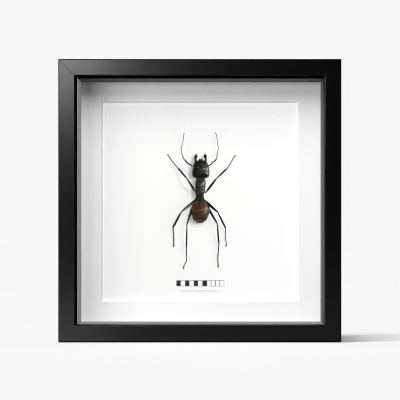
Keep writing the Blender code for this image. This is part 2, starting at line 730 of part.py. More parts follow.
def build_legs():
    for name, leg in LEGS.items():
        points, radii = zip(*leg_path(leg))
        add_piece("ant_leg_" + name, tube("ant_leg_" + name, points, radii), BLACK_CHITIN)


def build_antennae():
    for side, points in ANTENNAE.items():
        last = len(points) - 1
        path = []
        for index in range(last):
            before = points[max(index - 1, 0)]
            after = points[min(index + 2, last)]
            for share in (0.0, 0.5):
                place = tuple(blend_curve(*values, share)
                              for values in zip(before, points[index], points[index + 1], after))
                path.append((place, index + share))
        path.append((points[-1], last))
        scape_end = SCAPE_POINTS - 1
        radii = []
        for _, along in path:
            if along <= scape_end:
                radii.append(SOCKET_RADIUS + (SCAPE_RADIUS - SOCKET_RADIUS) * along / scape_end)
            else:
                radii.append(FUNICULUS_RADIUS)
        curve = tube("ant_antenna_" + side, [place for place, _ in path], radii)
        add_piece("ant_antenna_" + side, curve, BLACK_CHITIN)


# Finishes: colour, roughness, metallic, transmission
BLACK_PAINT = ((0.012, 0.012, 0.013), 0.38)
BLACK_LINER = ((0.02, 0.02, 0.022), 0.45)
CLEAR_GLASS = ((1.0, 1.0, 1.0), 0.02, 0.0, 1.0)
WHITE_CARD = ((0.86, 0.86, 0.85), 0.85)
FIBREBOARD = ((0.24, 0.14, 0.075), 0.8)
ZINC_STEEL = ((0.55, 0.55, 0.54), 0.35, 1.0)
BLACK_CHITIN = ((0.012, 0.011, 0.009), 0.3)
BROWN_CHITIN = ((0.09, 0.03, 0.018), 0.35)

clear_scene()
pieces = new_collection("framed_giant_ant")
cutters = new_collection("cutters")
build_rails()
build_spacers()
build_sheets()
build_tabs()
build_hanger()
build_nails()
build_head()
build_thorax_and_waist()
add_piece("ant_gaster", loft("ant_gaster", gaster_rings(), 1.0), BROWN_CHITIN)
build_legs()
build_antennae()
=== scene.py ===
"""How the framed giant ant looks: its finishes, the fine shape of the ant, the light and the camera.

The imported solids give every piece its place. The rails, the fixings on the back and the whole
ant are made again here, with rounded edges and fine relief. The sheets and the spacer strips
keep their solids and get their finishes.

Sizes are in millimetres. Depths are counted from the front face of the frame towards its
back. Places on the ant are counted to the right of the ant's own axis, upwards from the
middle of the frame, and forwards from the face of the board that carries it.
"""

import json
import math
import random
from collections import namedtuple

import bmesh
import bpy
from mathutils import Matrix, Vector, noise

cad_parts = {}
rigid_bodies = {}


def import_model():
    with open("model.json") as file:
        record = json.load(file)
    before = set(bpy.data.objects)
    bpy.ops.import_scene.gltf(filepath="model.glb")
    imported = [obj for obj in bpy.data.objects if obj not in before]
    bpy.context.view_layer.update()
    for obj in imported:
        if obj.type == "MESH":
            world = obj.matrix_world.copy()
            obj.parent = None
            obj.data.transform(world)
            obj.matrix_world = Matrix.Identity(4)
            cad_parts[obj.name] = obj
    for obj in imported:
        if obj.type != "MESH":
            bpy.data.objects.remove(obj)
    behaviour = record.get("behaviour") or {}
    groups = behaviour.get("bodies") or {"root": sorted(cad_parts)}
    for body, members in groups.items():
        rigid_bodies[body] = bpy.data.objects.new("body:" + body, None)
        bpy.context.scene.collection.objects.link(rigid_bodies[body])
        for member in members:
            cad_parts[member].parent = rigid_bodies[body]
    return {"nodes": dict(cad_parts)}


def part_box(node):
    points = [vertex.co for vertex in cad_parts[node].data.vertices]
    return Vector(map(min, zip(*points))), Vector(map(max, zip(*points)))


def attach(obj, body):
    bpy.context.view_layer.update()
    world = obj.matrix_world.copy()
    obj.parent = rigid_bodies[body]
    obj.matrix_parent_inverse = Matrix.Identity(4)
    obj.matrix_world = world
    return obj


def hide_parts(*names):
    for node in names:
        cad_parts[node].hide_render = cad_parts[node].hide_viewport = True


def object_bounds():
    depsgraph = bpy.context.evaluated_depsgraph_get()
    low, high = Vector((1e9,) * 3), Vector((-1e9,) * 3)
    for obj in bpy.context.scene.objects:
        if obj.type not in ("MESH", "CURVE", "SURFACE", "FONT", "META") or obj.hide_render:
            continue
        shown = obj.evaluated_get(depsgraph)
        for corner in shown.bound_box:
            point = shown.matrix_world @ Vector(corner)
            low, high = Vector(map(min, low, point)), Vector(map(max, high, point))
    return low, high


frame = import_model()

MM = 0.001
CAD_LOW, CAD_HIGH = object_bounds()

# The frame's sizes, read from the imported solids
FRAME_SIDE = (CAD_HIGH.x - CAD_LOW.x) / MM
FRAME_DEPTH = (CAD_HIGH.y - CAD_LOW.y) / MM
BOARD_FRONT = (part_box("mount_board")[0].y - CAD_LOW.y) / MM
TAB_FRONT = (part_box("tab_top_left")[0].y - CAD_LOW.y) / MM
TAB_THICKNESS = (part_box("tab_top_left")[1].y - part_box("tab_top_left")[0].y) / MM

# The frame's sizes that the solids don't give by their outer edges
FACE_WIDTH = 7.5
LIP_DEPTH = 7.0
WALL = 3.9
FACE_ARRIS = 0.55
BACK_ARRIS = 0.4
MITRE_GAP = 0.04
RAIL_ROUNDING = 0.07
GAP = 0.3
WINDOW_WIDTH = 91.2
WINDOW_HEIGHT = 92.4
WINDOW_SHIFT = (-0.4, 0.2)

# The fixings on the back
TAB_LENGTH = 13.0
TAB_WIDTH = 8.0
TAB_BITE = 1.5
TAB_ROOT_WIDTH = 5.6
TAB_OFFSET = 30.0
HANGER_LENGTH = 44.0
HANGER_HEIGHT = 8.0
HANGER_THICKNESS = 0.8
HANGER_RISE = 1.2
HANGER_UP = 40.0
HANGER_BRIDGE = 28.0
HANGER_RAMP = 2.0
TOOTH_PITCH = 2.0
TOOTH_DEPTH = 1.2
NAIL_OFFSET = 18.5
NAIL_HEAD_RADIUS = 1.6
NAIL_HEAD_THICKNESS = 0.7
NAIL_SHANK_RADIUS = 0.6
NAIL_SHANK_LENGTH = 2.2
NAIL_ARRIS = 0.08
NAIL_POINT = 0.6
NAIL_RIM_SHARE = 0.35
NAIL_SIDES = 36

# Which way each side of the frame is turned from the bottom one, in quarter turns
SIDES = {"bottom": 0, "left": 1, "top": 2, "right": 3}


class Ring(namedtuple("Ring", "up half_width low high side")):
    """A cross-section of the ant's body: how far up, half the width, underside and top heights
    above the board, and how far its middle is to the right."""

    @property
    def middle(self):
        return (self.low + self.high) / 2

    @property
    def half_height(self):
        return (self.high - self.low) / 2


ANT_SHIFT = -0.2
HEAD_SIDE = 0.25
HEAD_RINGS = [
    Ring(19.55, 0.0, 4.7, 4.7, HEAD_SIDE),
    Ring(19.45, 0.75, 4.3, 5.2, HEAD_SIDE),
    Ring(19.15, 1.1, 4.0, 5.6, HEAD_SIDE),
    Ring(18.65, 1.45, 3.7, 6.1, HEAD_SIDE),
    Ring(18.40, 2.75, 3.5, 6.2, HEAD_SIDE),
    Ring(17.40, 3.2, 3.1, 6.6, HEAD_SIDE),
    Ring(16.20, 3.6, 2.8, 6.95, HEAD_SIDE),
    Ring(14.80, 3.9, 2.6, 7.15, HEAD_SIDE),
    Ring(13.40, 4.02, 2.5, 7.15, HEAD_SIDE),
    Ring(12.20, 3.98, 2.6, 6.9, HEAD_SIDE),
    Ring(11.40, 3.72, 2.9, 6.5, HEAD_SIDE),
    Ring(10.95, 3.2, 3.3, 6.0, HEAD_SIDE),
    Ring(10.68, 2.3, 3.9, 5.5, HEAD_SIDE),
    Ring(10.56, 0.0, 4.7, 4.7, HEAD_SIDE),
]
NECK_HOLLOW = 0.55
HOLLOW_START = 12.4
HOLLOW_FULL = 10.8
NECK_HALF_WIDTH = 2.2
EYE_PLACE = (2.45, 13.7, 6.45)
EYE_RADII = (0.42, 0.62, 0.4)
EYE_LEAN = 38.0

THORAX_RINGS = [
    Ring(11.60, 0.0, 4.6, 4.6, 0.15),
    Ring(11.50, 0.6, 4.1, 5.1, 0.15),
    Ring(11.05, 1.3, 3.9, 5.7, 0.15),
    Ring(10.60, 1.8, 3.8, 6.2, 0.15),
    Ring(10.20, 2.1, 3.6, 6.5, 0.15),
    Ring(9.60, 2.3, 3.5, 6.8, 0.18),
    Ring(8.60, 2.37, 3.4, 7.2, 0.1),
    Ring(7.20, 2.36, 3.4, 7.3, 0.05),
    Ring(6.20, 2.3, 3.4, 7.15, -0.05),
    Ring(5.00, 2.24, 3.4, 7.1, -0.12),
    Ring(3.90, 2.12, 3.45, 6.8, -0.27),
    Ring(3.10, 1.92, 3.6, 6.3, -0.27),
    Ring(2.60, 1.85, 3.7, 5.8, -0.22),
    Ring(2.15, 1.65, 3.8, 5.3, -0.25),
    Ring(1.90, 1.1, 4.0, 5.0, -0.25),
    Ring(1.80, 0.0, 4.5, 4.5, -0.25),
]
WAIST_RINGS = [
    Ring(2.75, 0.0, 4.3, 4.3, -0.15),
    Ring(2.65, 0.7, 3.9, 4.7, -0.15),
    Ring(2.15, 1.0, 3.8, 5.1, -0.15),
    Ring(1.85, 1.35, 3.6, 6.2, -0.12),
    Ring(1.60, 1.45, 3.5, 6.6, -0.1),
    Ring(1.35, 1.35, 3.6, 6.2, -0.08),
    Ring(1.05, 1.0, 3.8, 5.2, 0.0),
    Ring(0.55, 1.1, 3.9, 5.3, 0.1),
    Ring(0.45, 0.0, 4.5, 4.5, 0.1),
]
GASTER_RINGS = [
    Ring(0.90, 0.0, 4.6, 4.6, 0.1),
    Ring(0.80, 1.0, 4.0, 5.4, 0.1),
    Ring(0.35, 1.95, 3.5, 6.2, 0.15),
    Ring(-0.50, 2.85, 3.0, 6.9, 0.25),
    Ring(-1.50, 3.4, 2.5, 7.35, 0.33),
    Ring(-2.60, 3.8, 2.2, 7.65, 0.36),
    Ring(-3.90, 4.05, 1.95, 7.8, 0.28),
    Ring(-5.20, 4.1, 1.9, 7.8, 0.14),
    Ring(-6.60, 3.9, 1.9, 7.6, -0.03),
    Ring(-7.70, 3.42, 2.1, 7.1, -0.15),
    Ring(-8.60, 2.75, 2.6, 6.5, -0.15),
    Ring(-9.30, 1.8, 3.2, 5.8, -0.15),
    Ring(-9.80, 0.0, 4.6, 4.6, -0.15),
]
GASTER_SEAMS = [-4.0, -6.9, -8.6]
# How pale the thin lip of each plate is
SEAM_PALENESS = dict(zip(GASTER_SEAMS, (0.95, 0.25, 0.15)))
SEAM_STEP = 0.09
SEAM_LENGTH = 0.1
# Where the rows of points lie close together, counted from each seam
SEAM_ROWS = (0.08, 0.04, 0.01, -0.015, -0.04, -0.07, -0.1, -0.14)
# The last band of hairs grows round the tip
TIP_BAND = -9.3

# The right mandible's two edges, to the right of the head's own axis and upwards
MANDIBLE_OUTER = [(2.8, 18.0), (2.8, 18.78), (2.82, 19.40), (2.88, 20.20), (2.82, 20.70),
                  (2.68, 21.10), (2.42, 21.50), (2.1, 21.85), (1.8, 22.15)]
MANDIBLE_INNER = [(1.1, 18.0), (1.35, 18.65), (1.72, 19.05), (1.75, 19.40), (1.65, 19.80),
                  (1.42, 20.15), (1.3, 20.45), (1.12, 20.75), (1.45, 20.95), (1.4, 21.25),
                  (1.58, 21.50), (1.55, 21.85), (1.8, 22.15)]
# How far each mandible is swung away from the head's own axis
MANDIBLE_SWINGS = {"left": 0.12, "right": 0.0}
MANDIBLE_HEIGHT = 4.5
MANDIBLE_THICKNESS = 0.9

# Each antenna from its socket to its tip; the scape ends at the fourth point
ANTENNAE = {
    "left": [
        (-0.65, 15.3, 7.80), (-3.0, 15.9, 8.0), (-5.4, 17.3, 8.0), (-7.0, 18.9, 7.6),
        (-8.0, 20.7, 6.9), (-8.55, 23.0, 5.8), (-8.6, 24.4, 5.2), (-7.88, 27.9, 3.7),
        (-7.6, 30.7, 2.2), (-7.4, 31.8, 1.7),
    ],
    "right": [
        (1.10, 15.3, 7.80), (4.2, 16.4, 8.1), (5.8, 17.7, 8.0), (7.5, 19.5, 7.6),
        (7.75, 21.6, 6.9), (8.22, 24.5, 5.6), (7.78, 27.8, 4.2), (7.35, 30.6, 2.8),
        (6.7, 32.0, 2.0),
    ],
}
SCAPE_POINTS = 4
SOCKET_RADIUS = 0.24
SCAPE_RADII = {"left": 0.36, "right": 0.3}
FUNICULUS_RADIUS = 0.2
FUNICULUS_BEADS = 11

# How each leg is held: the two ends of the coxa, the turn of the trochanter, the knee,
# the ankle, and the joints of the foot down to its claws; then how stout its femur, its
# tibia and its foot are, and how pale its foot
Leg = namedtuple("Leg", "coxa trochanter knee ankle foot girths paleness")

LEGS = {
    "front_left": Leg(
        coxa=[(-0.95, 7.9, 2.4), (-1.3, 6.0, 2.3)],
        trochanter=[(-1.5, 5.1, 2.2), (-1.85, 4.5, 2.35), (-2.4, 4.65, 2.7)],
        knee=(-5.8, 10.2, 8.2),
        ankle=(-10.3, 15.5, 2.2),
        foot=[(-13.1, 18.8, 0.9), (-14.1, 20.4, 0.6), (-15.2, 22.1, 0.6)],
        girths=(0.76, 0.98, 0.95), paleness=0.06,
    ),
    "front_right": Leg(
        coxa=[(1.0, 7.7, 2.4), (1.45, 5.8, 2.3)],
        trochanter=[(1.65, 4.9, 2.2), (2.15, 4.35, 2.4), (2.77, 4.6, 2.8)],
        knee=(7.4, 10.4, 8.4),
        ankle=(12.1, 15.15, 2.3),
        foot=[(14.25, 18.3, 0.9), (15.05, 20.1, 0.6), (16.3, 21.6, 0.6)],
        girths=(0.84, 0.97, 1.0), paleness=0.12,
    ),
    "middle_left": Leg(
        coxa=[(-0.95, 3.7, 2.5), (-1.25, 2.3, 2.5)],
        trochanter=[(-1.4, 1.6, 2.6), (-1.8, 1.1, 2.9)],
        knee=(-8.6, -4.82, 9.0),
        ankle=(-12.5, -11.7, 2.3),
        foot=[(-12.3, -15.6, 1.0), (-12.3, -18.8, 0.6), (-12.35, -20.9, 0.6)],
        girths=(1.0, 1.15, 1.6), paleness=0.4,
    ),
    "middle_right": Leg(
        coxa=[(0.8, 3.7, 2.5), (0.9, 2.4, 2.5)],
        trochanter=[(1.25, 1.5, 2.6), (1.6, 0.93, 2.95)],
        knee=(8.02, -4.88, 9.0),
        ankle=(11.5, -11.9, 2.3),
        foot=[(11.5, -15.2, 1.0), (11.5, -17.2, 0.7), (12.0, -19.0, 0.6), (11.8, -20.7, 0.6)],
        girths=(1.0, 0.97, 1.0), paleness=0.2,
    ),
    "hind_left": Leg(
        coxa=[(-1.6, 1.5, 2.9), (-1.95, 0.2, 2.2)],
        trochanter=[(-2.4, -0.15, 1.95), (-2.9, -0.4, 2.2)],
        knee=(-5.92, -10.5, 9.2),
        ankle=(-6.4, -21.1, 2.4),
        foot=[(-6.4, -24.4, 1.1), (-6.35, -26.9, 0.7), (-7.47, -29.2, 0.6), (-7.8, -31.0, 0.6)],
        girths=(0.92, 0.8, 1.0), paleness=0.08,
    ),
    "hind_right": Leg(
        coxa=[(1.0, 1.5, 2.9), (1.55, 0.2, 2.1)],
        trochanter=[(2.1, -0.45, 1.85), (2.55, -1.07, 2.0)],
        knee=(7.78, -10.05, 6.9),
        ankle=(8.5, -19.3, 2.3),
        foot=[(8.3, -22.6, 1.1), (8.0, -25.4, 0.8), (8.1, -27.9, 0.6), (8.3, -30.3, 0.6)],
        girths=(0.88, 0.84, 1.3), paleness=0.25,
    ),
}
# Where each pair of coxae grows out of the thorax: to the side, up, and height
COXA_ROOTS = {"front": (0.75, 8.4, 4.0), "middle": (0.7, 4.2, 4.0), "hind": (1.0, 2.9, 4.0)}

# How thick each joint of a leg is, by how far along it
COXA_SHAPE = [(0.0, 0.55), (0.35, 0.78), (0.75, 0.74), (1.0, 0.5)]
TROCHANTER_SHAPE = [(0.0, 0.34), (0.5, 0.44), (1.0, 0.34)]
FEMUR_SHAPE = [(0.0, 0.3), (0.12, 0.54), (0.38, 0.66), (0.72, 0.56), (0.93, 0.4), (1.0, 0.38)]
TIBIA_SHAPE = [(0.0, 0.3), (0.07, 0.32), (0.35, 0.44), (0.85, 0.47), (1.0, 0.42)]
TARSUS_SHAPE = [(0.0, 0.18), (0.2, 0.22), (0.8, 0.24), (1.0, 0.24)]
JOINT_SHAPE = [(0.0, 0.24), (0.5, 0.3), (1.0, 0.24)]
LAST_TARSUS_SHAPE = [(0.0, 0.18), (0.6, 0.3), (1.0, 0.36)]
SPUR_SHAPE = [(0.0, 0.09), (0.5, 0.07), (1.0, 0.02)]
CLAW_SHAPE = [(0.0, 0.12), (0.6, 0.08), (1.0, 0.02)]
PAD_SHAPE = [(0.0, 0.12), (0.5, 0.17), (1.0, 0.1)]
SOCKET_SHAPE = [(0.0, 0.28), (0.5, 0.3), (1.0, 0.22)]
# Where the foot's four joints beyond the instep begin and end, how far each slides into the
# one before it, and how much of the last the claws take up
FOOT_SHARES = [0.0, 0.36, 0.56, 0.72, 1.0]
TOE_OVERLAP = 0.08
CLAW_ROOM = 0.3


def frame_point(right, up, depth):
    """A point counted from the middle of the frame's front face, in metres."""
    return Vector((right, depth - FRAME_DEPTH / 2, FRAME_SIDE / 2 + up)) * MM


def ant_point(right, up, height):
    """A point counted from the ant's axis and from the board's face, in metres."""
    return frame_point(right + ANT_SHIFT, up, BOARD_FRONT - height)


def math_operator(operation, reflected=False):
    """An operator on values that adds one Math node; reflected has the value on its right."""
    def act(value, *others):
        terms = (*others, value) if reflected else (value, *others)
        return value.finish.maths(operation, *terms)
    return act


class Value:
    """A socket of a finish. Sums written with it add Math nodes to that finish."""

    def __init__(self, finish, socket):
        self.finish = finish
        self.socket = socket

    __add__ = __radd__ = math_operator('ADD')
    __mul__ = __rmul__ = math_operator('MULTIPLY')
    __sub__ = math_operator('SUBTRACT')
    __rsub__ = math_operator('SUBTRACT', reflected=True)
    __truediv__ = math_operator('DIVIDE')
    __pow__ = math_operator('POWER')
    __lt__ = math_operator('LESS_THAN')
    __gt__ = math_operator('GREATER_THAN')
    __abs__ = math_operator('ABSOLUTE')


class Finish:
    """One material as it is put together from nodes."""

    def __init__(self, name):
        self.material = bpy.data.materials.new(name)
        self.material.use_nodes = True
        self.tree = self.material.node_tree
        self.tree.nodes.clear()
        self.end = self.tree.nodes.new('ShaderNodeOutputMaterial')

    def node(self, kind, settings=None, inputs=None, output=0):
        """Adds one node: its settings first, then the values or links of its sockets."""
        made = self.tree.nodes.new(kind)
        for name, setting in (settings or {}).items():
            if name == "stops":
                self.set_stops(made.color_ramp, setting)
            else:
                setattr(made, name, setting)
        for name, given in (inputs or {}).items():
            if isinstance(given, Value):
                self.tree.links.new(given.socket, made.inputs[name])
            else:
                made.inputs[name].default_value = given
        return Value(self, made.outputs[output])

    def set_stops(self, ramp, stops):
        while len(ramp.elements) < len(stops):
            ramp.elements.new(1.0)
        for element, (place, colour) in zip(ramp.elements, stops):
            element.position = place
            element.color = colour

    def maths(self, operation, *values):
        return self.node('ShaderNodeMath', {"operation": operation}, dict(enumerate(values)))

    def clamped(self, value):
        """The value, kept between zero and one."""
        return self.maths('MINIMUM', self.maths('MAXIMUM', value, 0.0), 1.0)

    def blend(self, share, first, second):
        """A colour between two colours."""
        return self.node('ShaderNodeMix', {"data_type": 'RGBA'}, {0: share, 6: first, 7: second}, 2)

    def place(self, stretch=(1.0, 1.0, 1.0)):
        """The place on the surface in millimetres, drawn out along the axes by some factors."""
        spot = self.node('ShaderNodeTexCoord', output="Object")
        scale = tuple(factor / MM for factor in stretch)
        return self.node('ShaderNodeVectorMath', {"operation": 'MULTIPLY'}, {0: spot, 1: scale})

    def axes(self, place):
        """The three coordinates of a place, each as a value."""
        split = self.node('ShaderNodeSeparateXYZ', inputs={0: place})
        outputs = split.socket.node.outputs
        return [Value(self, outputs[axis]) for axis in "XYZ"]

    def speckle(self, place, scale, detail=3.0, roughness=0.55):
        return self.node('ShaderNodeTexNoise', inputs={
            "Vector": place, "Scale": scale, "Detail": detail, "Roughness": roughness})

    def cells(self, place, scale):
        return self.node('ShaderNodeTexVoronoi', inputs={"Vector": place, "Scale": scale})

    def ramp(self, value, stops):
        return self.node('ShaderNodeValToRGB', {"stops": stops}, {0: value})

    def relief(self, height, depth):
        """A bump whose full height is a depth in millimetres."""
        return self.node('ShaderNodeBump', inputs={
            "Height": height, "Distance": depth * MM, "Strength": 1.0})

    def gloss(self, **inputs):
        """A Principled shader; an input's name is the socket's name with underscores."""
        named = {name.replace("_", " "): given for name, given in inputs.items()}
        return self.node('ShaderNodeBsdfPrincipled', inputs=named)

    def shader_blend(self, share, first, second):
        return self.node('ShaderNodeMixShader', inputs={0: share, 1: first, 2: second})

    def done(self, shader):
        self.tree.links.new(shader.socket, self.end.inputs["Surface"])
        return self.material


def tone(red, green, blue):
    return (red, green, blue, 1.0)


def grey(level):
    return (level, level, level, 1.0)


# Finishes of the frame

# How far the face's paint runs short of its inner edge
PAINT_MARGIN = 0.04


def black_paint(side, stretch, lit_or_shaded_gloss):
    """Satin black paint over close-grained wood; inside the lip it is flat, or a little glossy where the wall
    is to read as lit.
    """
    finish = Finish("black_paint_" + side)
    place = finish.place()
    across, _, up = finish.axes(place)
    grain = finish.speckle(finish.place(stretch), 1.6, 5.0, 0.6)
    cloud = finish.speckle(place, 0.06, 2.0)
    orange_peel = finish.speckle(place, 2.2, 2.0)
    paint = finish.gloss(
        Base_Color=finish.blend(grain, grey(0.0008), grey(0.0016)),
        Roughness=0.2 + 0.05 * cloud + 0.03 * grain,
        IOR=1.42,
        Normal=finish.relief(0.6 * grain + 0.4 * orange_peel, 0.003))
    # The wall inside the lip: its gloss, given per side, is painted light that makes some walls read as lit
    inner_wall = finish.gloss(
        Base_Color=finish.blend(grain, grey(0.0012), grey(0.0022)),
        Roughness=0.55 + 0.1 * cloud, Specular_IOR_Level=lit_or_shaded_gloss,
        Normal=finish.relief(orange_peel, 0.003))
    from_middle = finish.maths('MAXIMUM', abs(across), abs(up - FRAME_SIDE / 2))
    inside_lip = from_middle < FRAME_SIDE / 2 - FACE_WIDTH + PAINT_MARGIN
    return finish.done(finish.shader_blend(inside_lip, paint, inner_wall))


def black_liner():
    """The spacer strips: smooth dark grey card with a dull sheen."""
    finish = Finish("black_liner")
    place = finish.place()
    fibre = finish.speckle(place, 3.0, 4.0)
    cloud = finish.speckle(place, 0.12, 2.0)
    return finish.done(finish.gloss(
        Base_Color=finish.blend(fibre, tone(0.085, 0.082, 0.089), tone(0.105, 0.101, 0.109)),
        Roughness=0.6 + 0.1 * cloud,
        Specular_IOR_Level=0.25,
        Normal=finish.relief(fibre, 0.01)))


def clear_glass():
    """Picture glass: it lets the light through and mirrors more the lower it is looked at."""
    finish = Finish("clear_glass")
    facing = finish.node('ShaderNodeLayerWeight', inputs={"Blend": 0.5}, output="Facing")
    haze = finish.speckle(finish.place(), 0.05, 2.0)
    mirror = finish.node('ShaderNodeBsdfGlossy', inputs={
        "Color": grey(1.0), "Roughness": 0.01 + 0.02 * haze})
    clear = finish.node('ShaderNodeBsdfTransparent', inputs={"Color": grey(0.99)})
    return finish.done(finish.shader_blend(0.04 + 0.96 * facing ** 5, clear, mirror))


def paper(finish, place, dull, bright):
    """White rag card: a faint cloudiness, short fibres and a soft tooth."""
    cloud = finish.speckle(place, 0.08, 3.0)
    fibre = finish.speckle(place, 4.0, 3.0, 0.5)
    white = finish.blend(0.5 * cloud + 0.5 * fibre, dull, bright)
    return white, finish.relief(fibre, 0.003), fibre


def window_mat():
    """The white mat, with the paler core of its card bare at the window's bevel."""
    finish = Finish("window_mat")
    place = finish.place()
    across, _, up = finish.axes(place)
    white, tooth, fibre = paper(finish, place, grey(0.84), tone(0.88, 0.88, 0.875))
    beside = abs(across - WINDOW_SHIFT[0]) - WINDOW_WIDTH / 2
    above = abs(up - FRAME_SIDE / 2 - WINDOW_SHIFT[1]) - WINDOW_HEIGHT / 2
    cut_edge = finish.maths('MAXIMUM', beside, above) < -0.02
    core = finish.blend(fibre, tone(0.86, 0.86, 0.85), tone(0.9, 0.9, 0.89))
    return finish.done(finish.gloss(
        Base_Color=finish.blend(cut_edge, white, core), Roughness=0.88,
        Specular_IOR_Level=0.25, Normal=tooth))


# The plain scale printed on the board below the ant: a bold half, a light half and fine ticks
SCALE_LEFT = -11.3
SCALE_BOLD_END = 2.7
SCALE_RIGHT = 10.7
SCALE_UP = -37.5
SCALE_HALF_HEIGHT = 1.35
SCALE_BLOCK = 2.0
SCALE_LINE = 0.16
TICK_UP = -41.1
TICK_HALF_HEIGHT = 0.5
TICK_INSET = 1.8
TICK_PITCH = 1.0
TICK_SHARE = 0.3


def mount_board():
    """The white board behind the ant, printed with a plain scale in black and grey."""
    finish = Finish("mount_board")
    place = finish.place()
    across, _, up = finish.axes(place)
    white, tooth, _ = paper(finish, place, grey(0.82), tone(0.86, 0.86, 0.855))
    height = up - FRAME_SIDE / 2
    off_bar = abs(height - SCALE_UP)
    in_height = off_bar < SCALE_HALF_HEIGHT
    in_bold = in_height * (across > SCALE_LEFT) * (across < SCALE_BOLD_END)
    in_light = in_height * (across > SCALE_BOLD_END) * (across < SCALE_RIGHT)
    from_left = across - SCALE_LEFT
    block = finish.maths('FRACT', from_left / (2 * SCALE_BLOCK)) < 0.5
    on_edge = off_bar > SCALE_HALF_HEIGHT - SCALE_LINE
    rung = finish.maths('FRACT', from_left / SCALE_BLOCK + SCALE_LINE / 2) < SCALE_LINE
    black_ink = in_bold * finish.maths('MAXIMUM', block, on_edge)
    thin_ink = in_light * finish.maths('MAXIMUM', rung, on_edge)
    tick = finish.maths('FRACT', from_left / TICK_PITCH) < TICK_SHARE
    in_ticks = (across > SCALE_LEFT + TICK_INSET) * (across < SCALE_RIGHT - TICK_INSET)
    grey_ink = in_ticks * tick * (abs(height - TICK_UP) < TICK_HALF_HEIGHT)
    printed = finish.blend(black_ink * 0.97, white, grey(0.006))
    printed = finish.blend(thin_ink * 0.9, printed, grey(0.02))
    printed = finish.blend(grey_ink * 0.8, printed, grey(0.3))
    return finish.done(finish.gloss(
        Base_Color=printed, Roughness=0.88, Specular_IOR_Level=0.25, Normal=tooth))


def fibreboard():
    """Brown hardboard, finely flecked with lighter and darker fibres."""
    finish = Finish("fibreboard")
    place = finish.place()
    flecks = finish.speckle(finish.place((1.0, 1.0, 0.35)), 1.4, 6.0, 0.7)
    cloud = finish.speckle(place, 0.05, 3.0)
    pits = finish.cells(place, 1.8)
    brown = finish.ramp(0.7 * flecks + 0.3 * cloud, [
        (0.25, tone(0.085, 0.045, 0.022)), (0.5, tone(0.17, 0.095, 0.047)),
        (0.75, tone(0.27, 0.165, 0.09))])
    return finish.done(finish.gloss(
        Base_Color=brown, Roughness=0.72 + 0.14 * flecks, Specular_IOR_Level=0.35,
        Normal=finish.relief(flecks + 0.3 * pits, 0.06)))


def zinc_steel():
    """Bright zinc on steel, with a faint spangle and fine drawing lines."""
    finish = Finish("zinc_steel")
    place = finish.place()
    lines = finish.speckle(finish.place((0.3, 1.0, 6.0)), 2.0, 4.0)
    spangle = finish.cells(place, 0.9)
    dull = finish.speckle(place, 0.5, 4.0)
    return finish.done(finish.gloss(
        Base_Color=finish.blend(dull, tone(0.50, 0.51, 0.52), tone(0.66, 0.66, 0.65)),
        Metallic=1.0, Roughness=0.24 + 0.2 * dull + 0.08 * spangle,
        Normal=finish.relief(lines, 0.008)))


# Finishes of the ant. The attribute tells how pale the skin is, from shell to joint
PALE = "pale"
FACET_PITCH = 0.05


def chitin(name, shade, pale, roughness, grain_pitch=0.07, wrinkles=0.0, wrinkle_pitch=0.7, coat=0.2):
    """Insect shell: dark and glossy, netted with a fine grain, paler at its joints."""
    finish = Finish(name)
    place = finish.place()
    mottle = finish.speckle(place, 0.7, 3.0)
    net = finish.cells(place, 1 / grain_pitch)
    fine = finish.speckle(place, 9.0, 3.0)
    height = 0.005 * net + 0.002 * fine
    if wrinkles:
        height += wrinkles * finish.speckle(place, 1 / wrinkle_pitch, 1.0)
    paleness = finish.node('ShaderNodeAttribute', {"attribute_name": PALE}, output="Fac")
    return finish.done(finish.gloss(
        Base_Color=finish.blend(paleness, shade(finish, place, mottle), pale),
        Roughness=roughness + 0.12 * fine + 0.1 * paleness,
        IOR=1.52,
        Coat_Weight=coat * (1 - paleness), Coat_Roughness=0.1,
        Normal=finish.relief(height, 1.0)))


def mottled(dark, warm):
    """A shade of shell that wanders between two tones."""
    def shade(finish, place, mottle):
        return finish.blend(mottle, dark, warm)
    return shade


def thorax_shade(finish, place, mottle):
    """Greenish black in front and a warmer brown towards the waist; both are lighter than the head's shell,
    partly as painted sheen from the side light.
    """
    _, _, up = finish.axes(place)
    along = (up - FRAME_SIDE / 2) / 10.0 + 0.1 * (mottle - 0.5)
    # Painted sheen: these tones stand partly for the light that the side lamps put on the thorax
    bands = finish.ramp(along, [
        (0.05, tone(0.030, 0.020, 0.012)), (0.3, tone(0.030, 0.024, 0.016)),
        (0.5, tone(0.021, 0.022, 0.015)), (1.0, tone(0.018, 0.020, 0.0135))])
    shell = finish.blend(mottle, tone(0.010, 0.011, 0.008), tone(0.026, 0.025, 0.018))
    return finish.blend(0.3, bands, shell)


def gaster_shade(finish, place, mottle):
    """Dark at the waist, then red-brown and brown behind the slanted seam; dark as a patch towards the
    rear, and darker on the left as painted shade, on the side away from the light."""
    across, _, up = finish.axes(place)
    along = (up - FRAME_SIDE / 2 + 10.0) / 11.0 + 0.06 * (mottle - 0.5)
    slanted = 0.022 * across
    bands = finish.ramp(along - slanted, [
        (0.0, tone(0.060, 0.021, 0.004)), (0.3, tone(0.050, 0.015, 0.004)),
        (0.46, tone(0.048, 0.013, 0.004)), (0.6, tone(0.062, 0.011, 0.002)),
        (0.76, tone(0.058, 0.011, 0.002)), (0.88, tone(0.034, 0.013, 0.005)),
        (1.0, tone(0.017, 0.010, 0.005))])
    edge = along + slanted + 0.25 * (finish.speckle(place, 0.55, 1.0) - 0.5)
    behind = finish.clamped((0.34 - edge) / 0.05)
    before_tip = finish.clamped((along - 0.10) / 0.06)
    patched = finish.blend(behind * before_tip, bands, tone(0.020, 0.0105, 0.003))
    # Painted shade: the left side, turned away from the lamps on the right, is darkened
    painted_left_shade = 0.85 * finish.clamped((-0.6 - across) / 3.4)
    return finish.blend(painted_left_shade, patched, tone(0.024, 0.017, 0.008))


